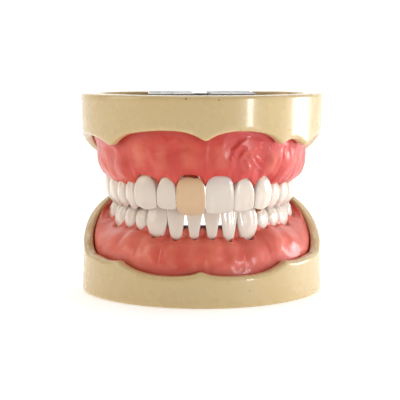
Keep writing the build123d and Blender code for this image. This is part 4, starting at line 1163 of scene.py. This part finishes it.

# an amber blob between the left canines and the lower premolar: painted amber light showing through the teeth at their
# contact
def build_painted_glow():
    mw = Mat("amber_painted_glow")
    f = mw.noise(700, 3, 0.6)
    mw.set("Base Color", mw.ramp(f, [(0.3, srgb(120, 62, 14)), (0.55, srgb(176, 104, 30)), (0.75, srgb(206, 142, 60))]))
    mw.set("Roughness", mw.remap(f, 0.3, 0.7, 0.2, 0.4))
    mw.set("Normal", mw.bump(f, 0.4, 0.0001))
    rows, cols = 14, 24
    pts = []
    for i in range(rows):
        th = math.pi * (i + 0.5) / rows
        for k in range(cols):
            ph = 2 * math.pi * k / cols
            r = 1 + 0.22 * noise.noise(Vector((math.cos(ph) * math.sin(th) * 1.5, math.sin(ph) * math.sin(th) * 1.5, math.cos(th) * 1.5 + 4)))
            pts.append((16.85 + 0.95 * r * math.sin(th) * math.cos(ph), 16.6 + 0.9 * r * math.sin(th) * math.sin(ph), 28.35 - 0.75 * r * math.cos(th)))
    faces = grid_faces(rows, cols)
    faces.append(list(range(cols)))
    faces.append([(rows - 1) * cols + k for k in range(cols)][::-1])
    o = make_object("painted_glow_blob", to_world("lower", pts), faces, mw.m, "lower_jaw")


build_painted_glow()

for name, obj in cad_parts.items():
    if "frame" in name and "screws" not in name:
        m = STEEL
    elif any(k in name for k in ("screws", "pins", "washers", "nuts")):
        m = SCREW
    else:
        continue
    obj.data.materials.clear()
    obj.data.materials.append(m)

# ---------------------------------------------------------------- floor, backdrop, light, camera
def stage_plane(name, size, loc, rot, mat):
    me = bpy.data.meshes.new(name)
    h = size / 2
    me.from_pydata([(-h, -h, 0), (h, -h, 0), (h, h, 0), (-h, h, 0)], [], [(0, 1, 2, 3)])
    me.materials.append(mat)
    o = bpy.data.objects.new(name, me)
    bpy.context.scene.collection.objects.link(o)
    o.location = loc
    o.rotation_euler = rot
    return o


mf = Mat("floor_paint")
grain = mf.noise(25, 3, 0.5)
mf.set("Base Color", mf.ramp(grain, [(0.3, srgb(248, 248, 247)), (0.7, srgb(252, 252, 251))]))
mf.set("Roughness", mf.remap(grain, 0.3, 0.7, 0.75, 0.85))
mf.set("Specular IOR Level", 0.2)
mf.set("Emission Color", (1.0, 1.0, 1.0, 1.0))
mf.set("Emission Strength", 0.35)

# curved sheet: floor sweeping up into the backdrop
def backdrop():
    prof = [(-3.0, 0.0), (0.9, 0.0)]
    for k in range(1, 25):
        a = math.pi / 2 * k / 24
        prof.append((0.9 + 0.6 * math.sin(a), 0.6 * (1 - math.cos(a))))
    prof.append((1.5, 3.0))
    verts, faces = [], []
    for x in (-3.0, 3.0):
        verts += [(x, y, z) for y, z in prof]
    n = len(prof)
    for k in range(n - 1):
        faces.append((k, n + k, n + k + 1, k + 1))
    me = bpy.data.meshes.new("floor_sheet")
    me.from_pydata(verts, [], faces)
    me.polygons.foreach_set("use_smooth", [True] * len(me.polygons))
    me.materials.append(mf.m)
    o = bpy.data.objects.new("floor_sheet", me)
    bpy.context.scene.collection.objects.link(o)
    return o


backdrop()


# pale studio wall all round, seen only directly
def surround():
    mw = Mat("wall_paint")
    g = mw.noise(3, 2, 0.5)
    mw.set("Base Color", mw.ramp(g, [(0.3, srgb(248, 248, 247)), (0.7, srgb(252, 252, 251))]))
    mw.set("Roughness", mw.remap(g, 0.3, 0.7, 0.8, 0.9))
    mw.set("Emission Color", (1.0, 1.0, 1.0, 1.0))
    mw.set("Emission Strength", 1.0)
    n = 96
    verts = [(1.12 * math.cos(2 * math.pi * k / n), 1.12 * math.sin(2 * math.pi * k / n), z) for z in (-0.01, 1.6) for k in range(n)]
    faces = [(k, (k + 1) % n, n + (k + 1) % n, n + k) for k in range(n)]
    me = bpy.data.meshes.new("studio_wall")
    me.from_pydata(verts, [], faces)
    me.polygons.foreach_set("use_smooth", [True] * len(me.polygons))
    me.materials.append(mw.m)
    o = bpy.data.objects.new("studio_wall", me)
    bpy.context.scene.collection.objects.link(o)
    o.visible_diffuse = o.visible_glossy = o.visible_transmission = False
    o.visible_volume_scatter = o.visible_shadow = False


surround()


def area(name, loc, target, size, size_y, power, colour=(1, 1, 1)):
    li = bpy.data.lights.new(name, "AREA")
    li.shape = "RECTANGLE"
    li.size, li.size_y = size, size_y
    li.energy = power
    li.color = colour
    o = bpy.data.objects.new(name, li)
    bpy.context.scene.collection.objects.link(o)
    o.location = loc
    o.rotation_euler = (Vector(target) - Vector(loc)).to_track_quat("-Z", "Y").to_euler()
    return o


POWER = {"world": 0.215, "floor": 0.34, "top_box": 4.3, "left_box": 3.6, "right_box": 1.6, "right_panel": 0.78, "right_strip": 0.25, "back_wash": 7.5}
COLOUR = {"top_box": (1.0, 0.995, 0.985), "left_box": (1.0, 0.95, 0.82), "right_box": (0.92, 0.955, 1.0), "right_panel": (0.95, 0.975, 1.0),
          "right_strip": (0.95, 0.975, 1.0), "back_wash": (1.0, 1.0, 1.0)}
world = bpy.data.worlds.new("soft_sky")
bpy.context.scene.world = world
world.use_nodes = True
world.node_tree.nodes["Background"].inputs["Color"].default_value = (1, 1, 1, 1)
world.node_tree.nodes["Background"].inputs["Strength"].default_value = POWER["world"]
mf.set("Emission Strength", POWER["floor"])

for name, loc, target, sx, sy in (
        ("top_box", (0.0, 0.0, 1.1), (0, 0.05, 0.0), 1.3, 1.2),
        ("left_box", (-1.0, -0.12, 0.42), (0, 0, 0.03), 0.7, 0.7),
        ("right_box", (1.0, -0.15, 0.5), (0, 0, 0.03), 0.7, 0.7),
        ("right_panel", (0.405, 0.085, 0.062), (0, 0.0, 0.045), 0.16, 0.12),
        ("right_strip", (0.243, -0.262, 0.062), (0, 0, 0.045), 0.034, 0.11),
        ("back_wash", (0.0, 0.55, 1.0), (0, 1.35, 0.25), 1.6, 0.6)):
    area(name, loc, target, sx, sy, POWER[name], COLOUR[name])

cam_data = bpy.data.cameras.new("cam")
cam = bpy.data.objects.new("cam", cam_data)
bpy.context.scene.collection.objects.link(cam)
cam.location = (-0.013857, -0.413686, 0.074409)
cam.rotation_euler = (math.radians(90) - 0.108977, 0, -0.0319286)
cam_data.sensor_width = 36.0
cam_data.lens = 1275.75 / 400 * 36.0
cam_data.clip_start = 0.01
cam_data.dof.use_dof = False
bpy.context.scene.camera = cam
bpy.context.scene.view_settings.view_transform = "Standard"
bpy.context.scene.view_settings.look = "None"
bpy.context.scene.view_settings.exposure = 0.0
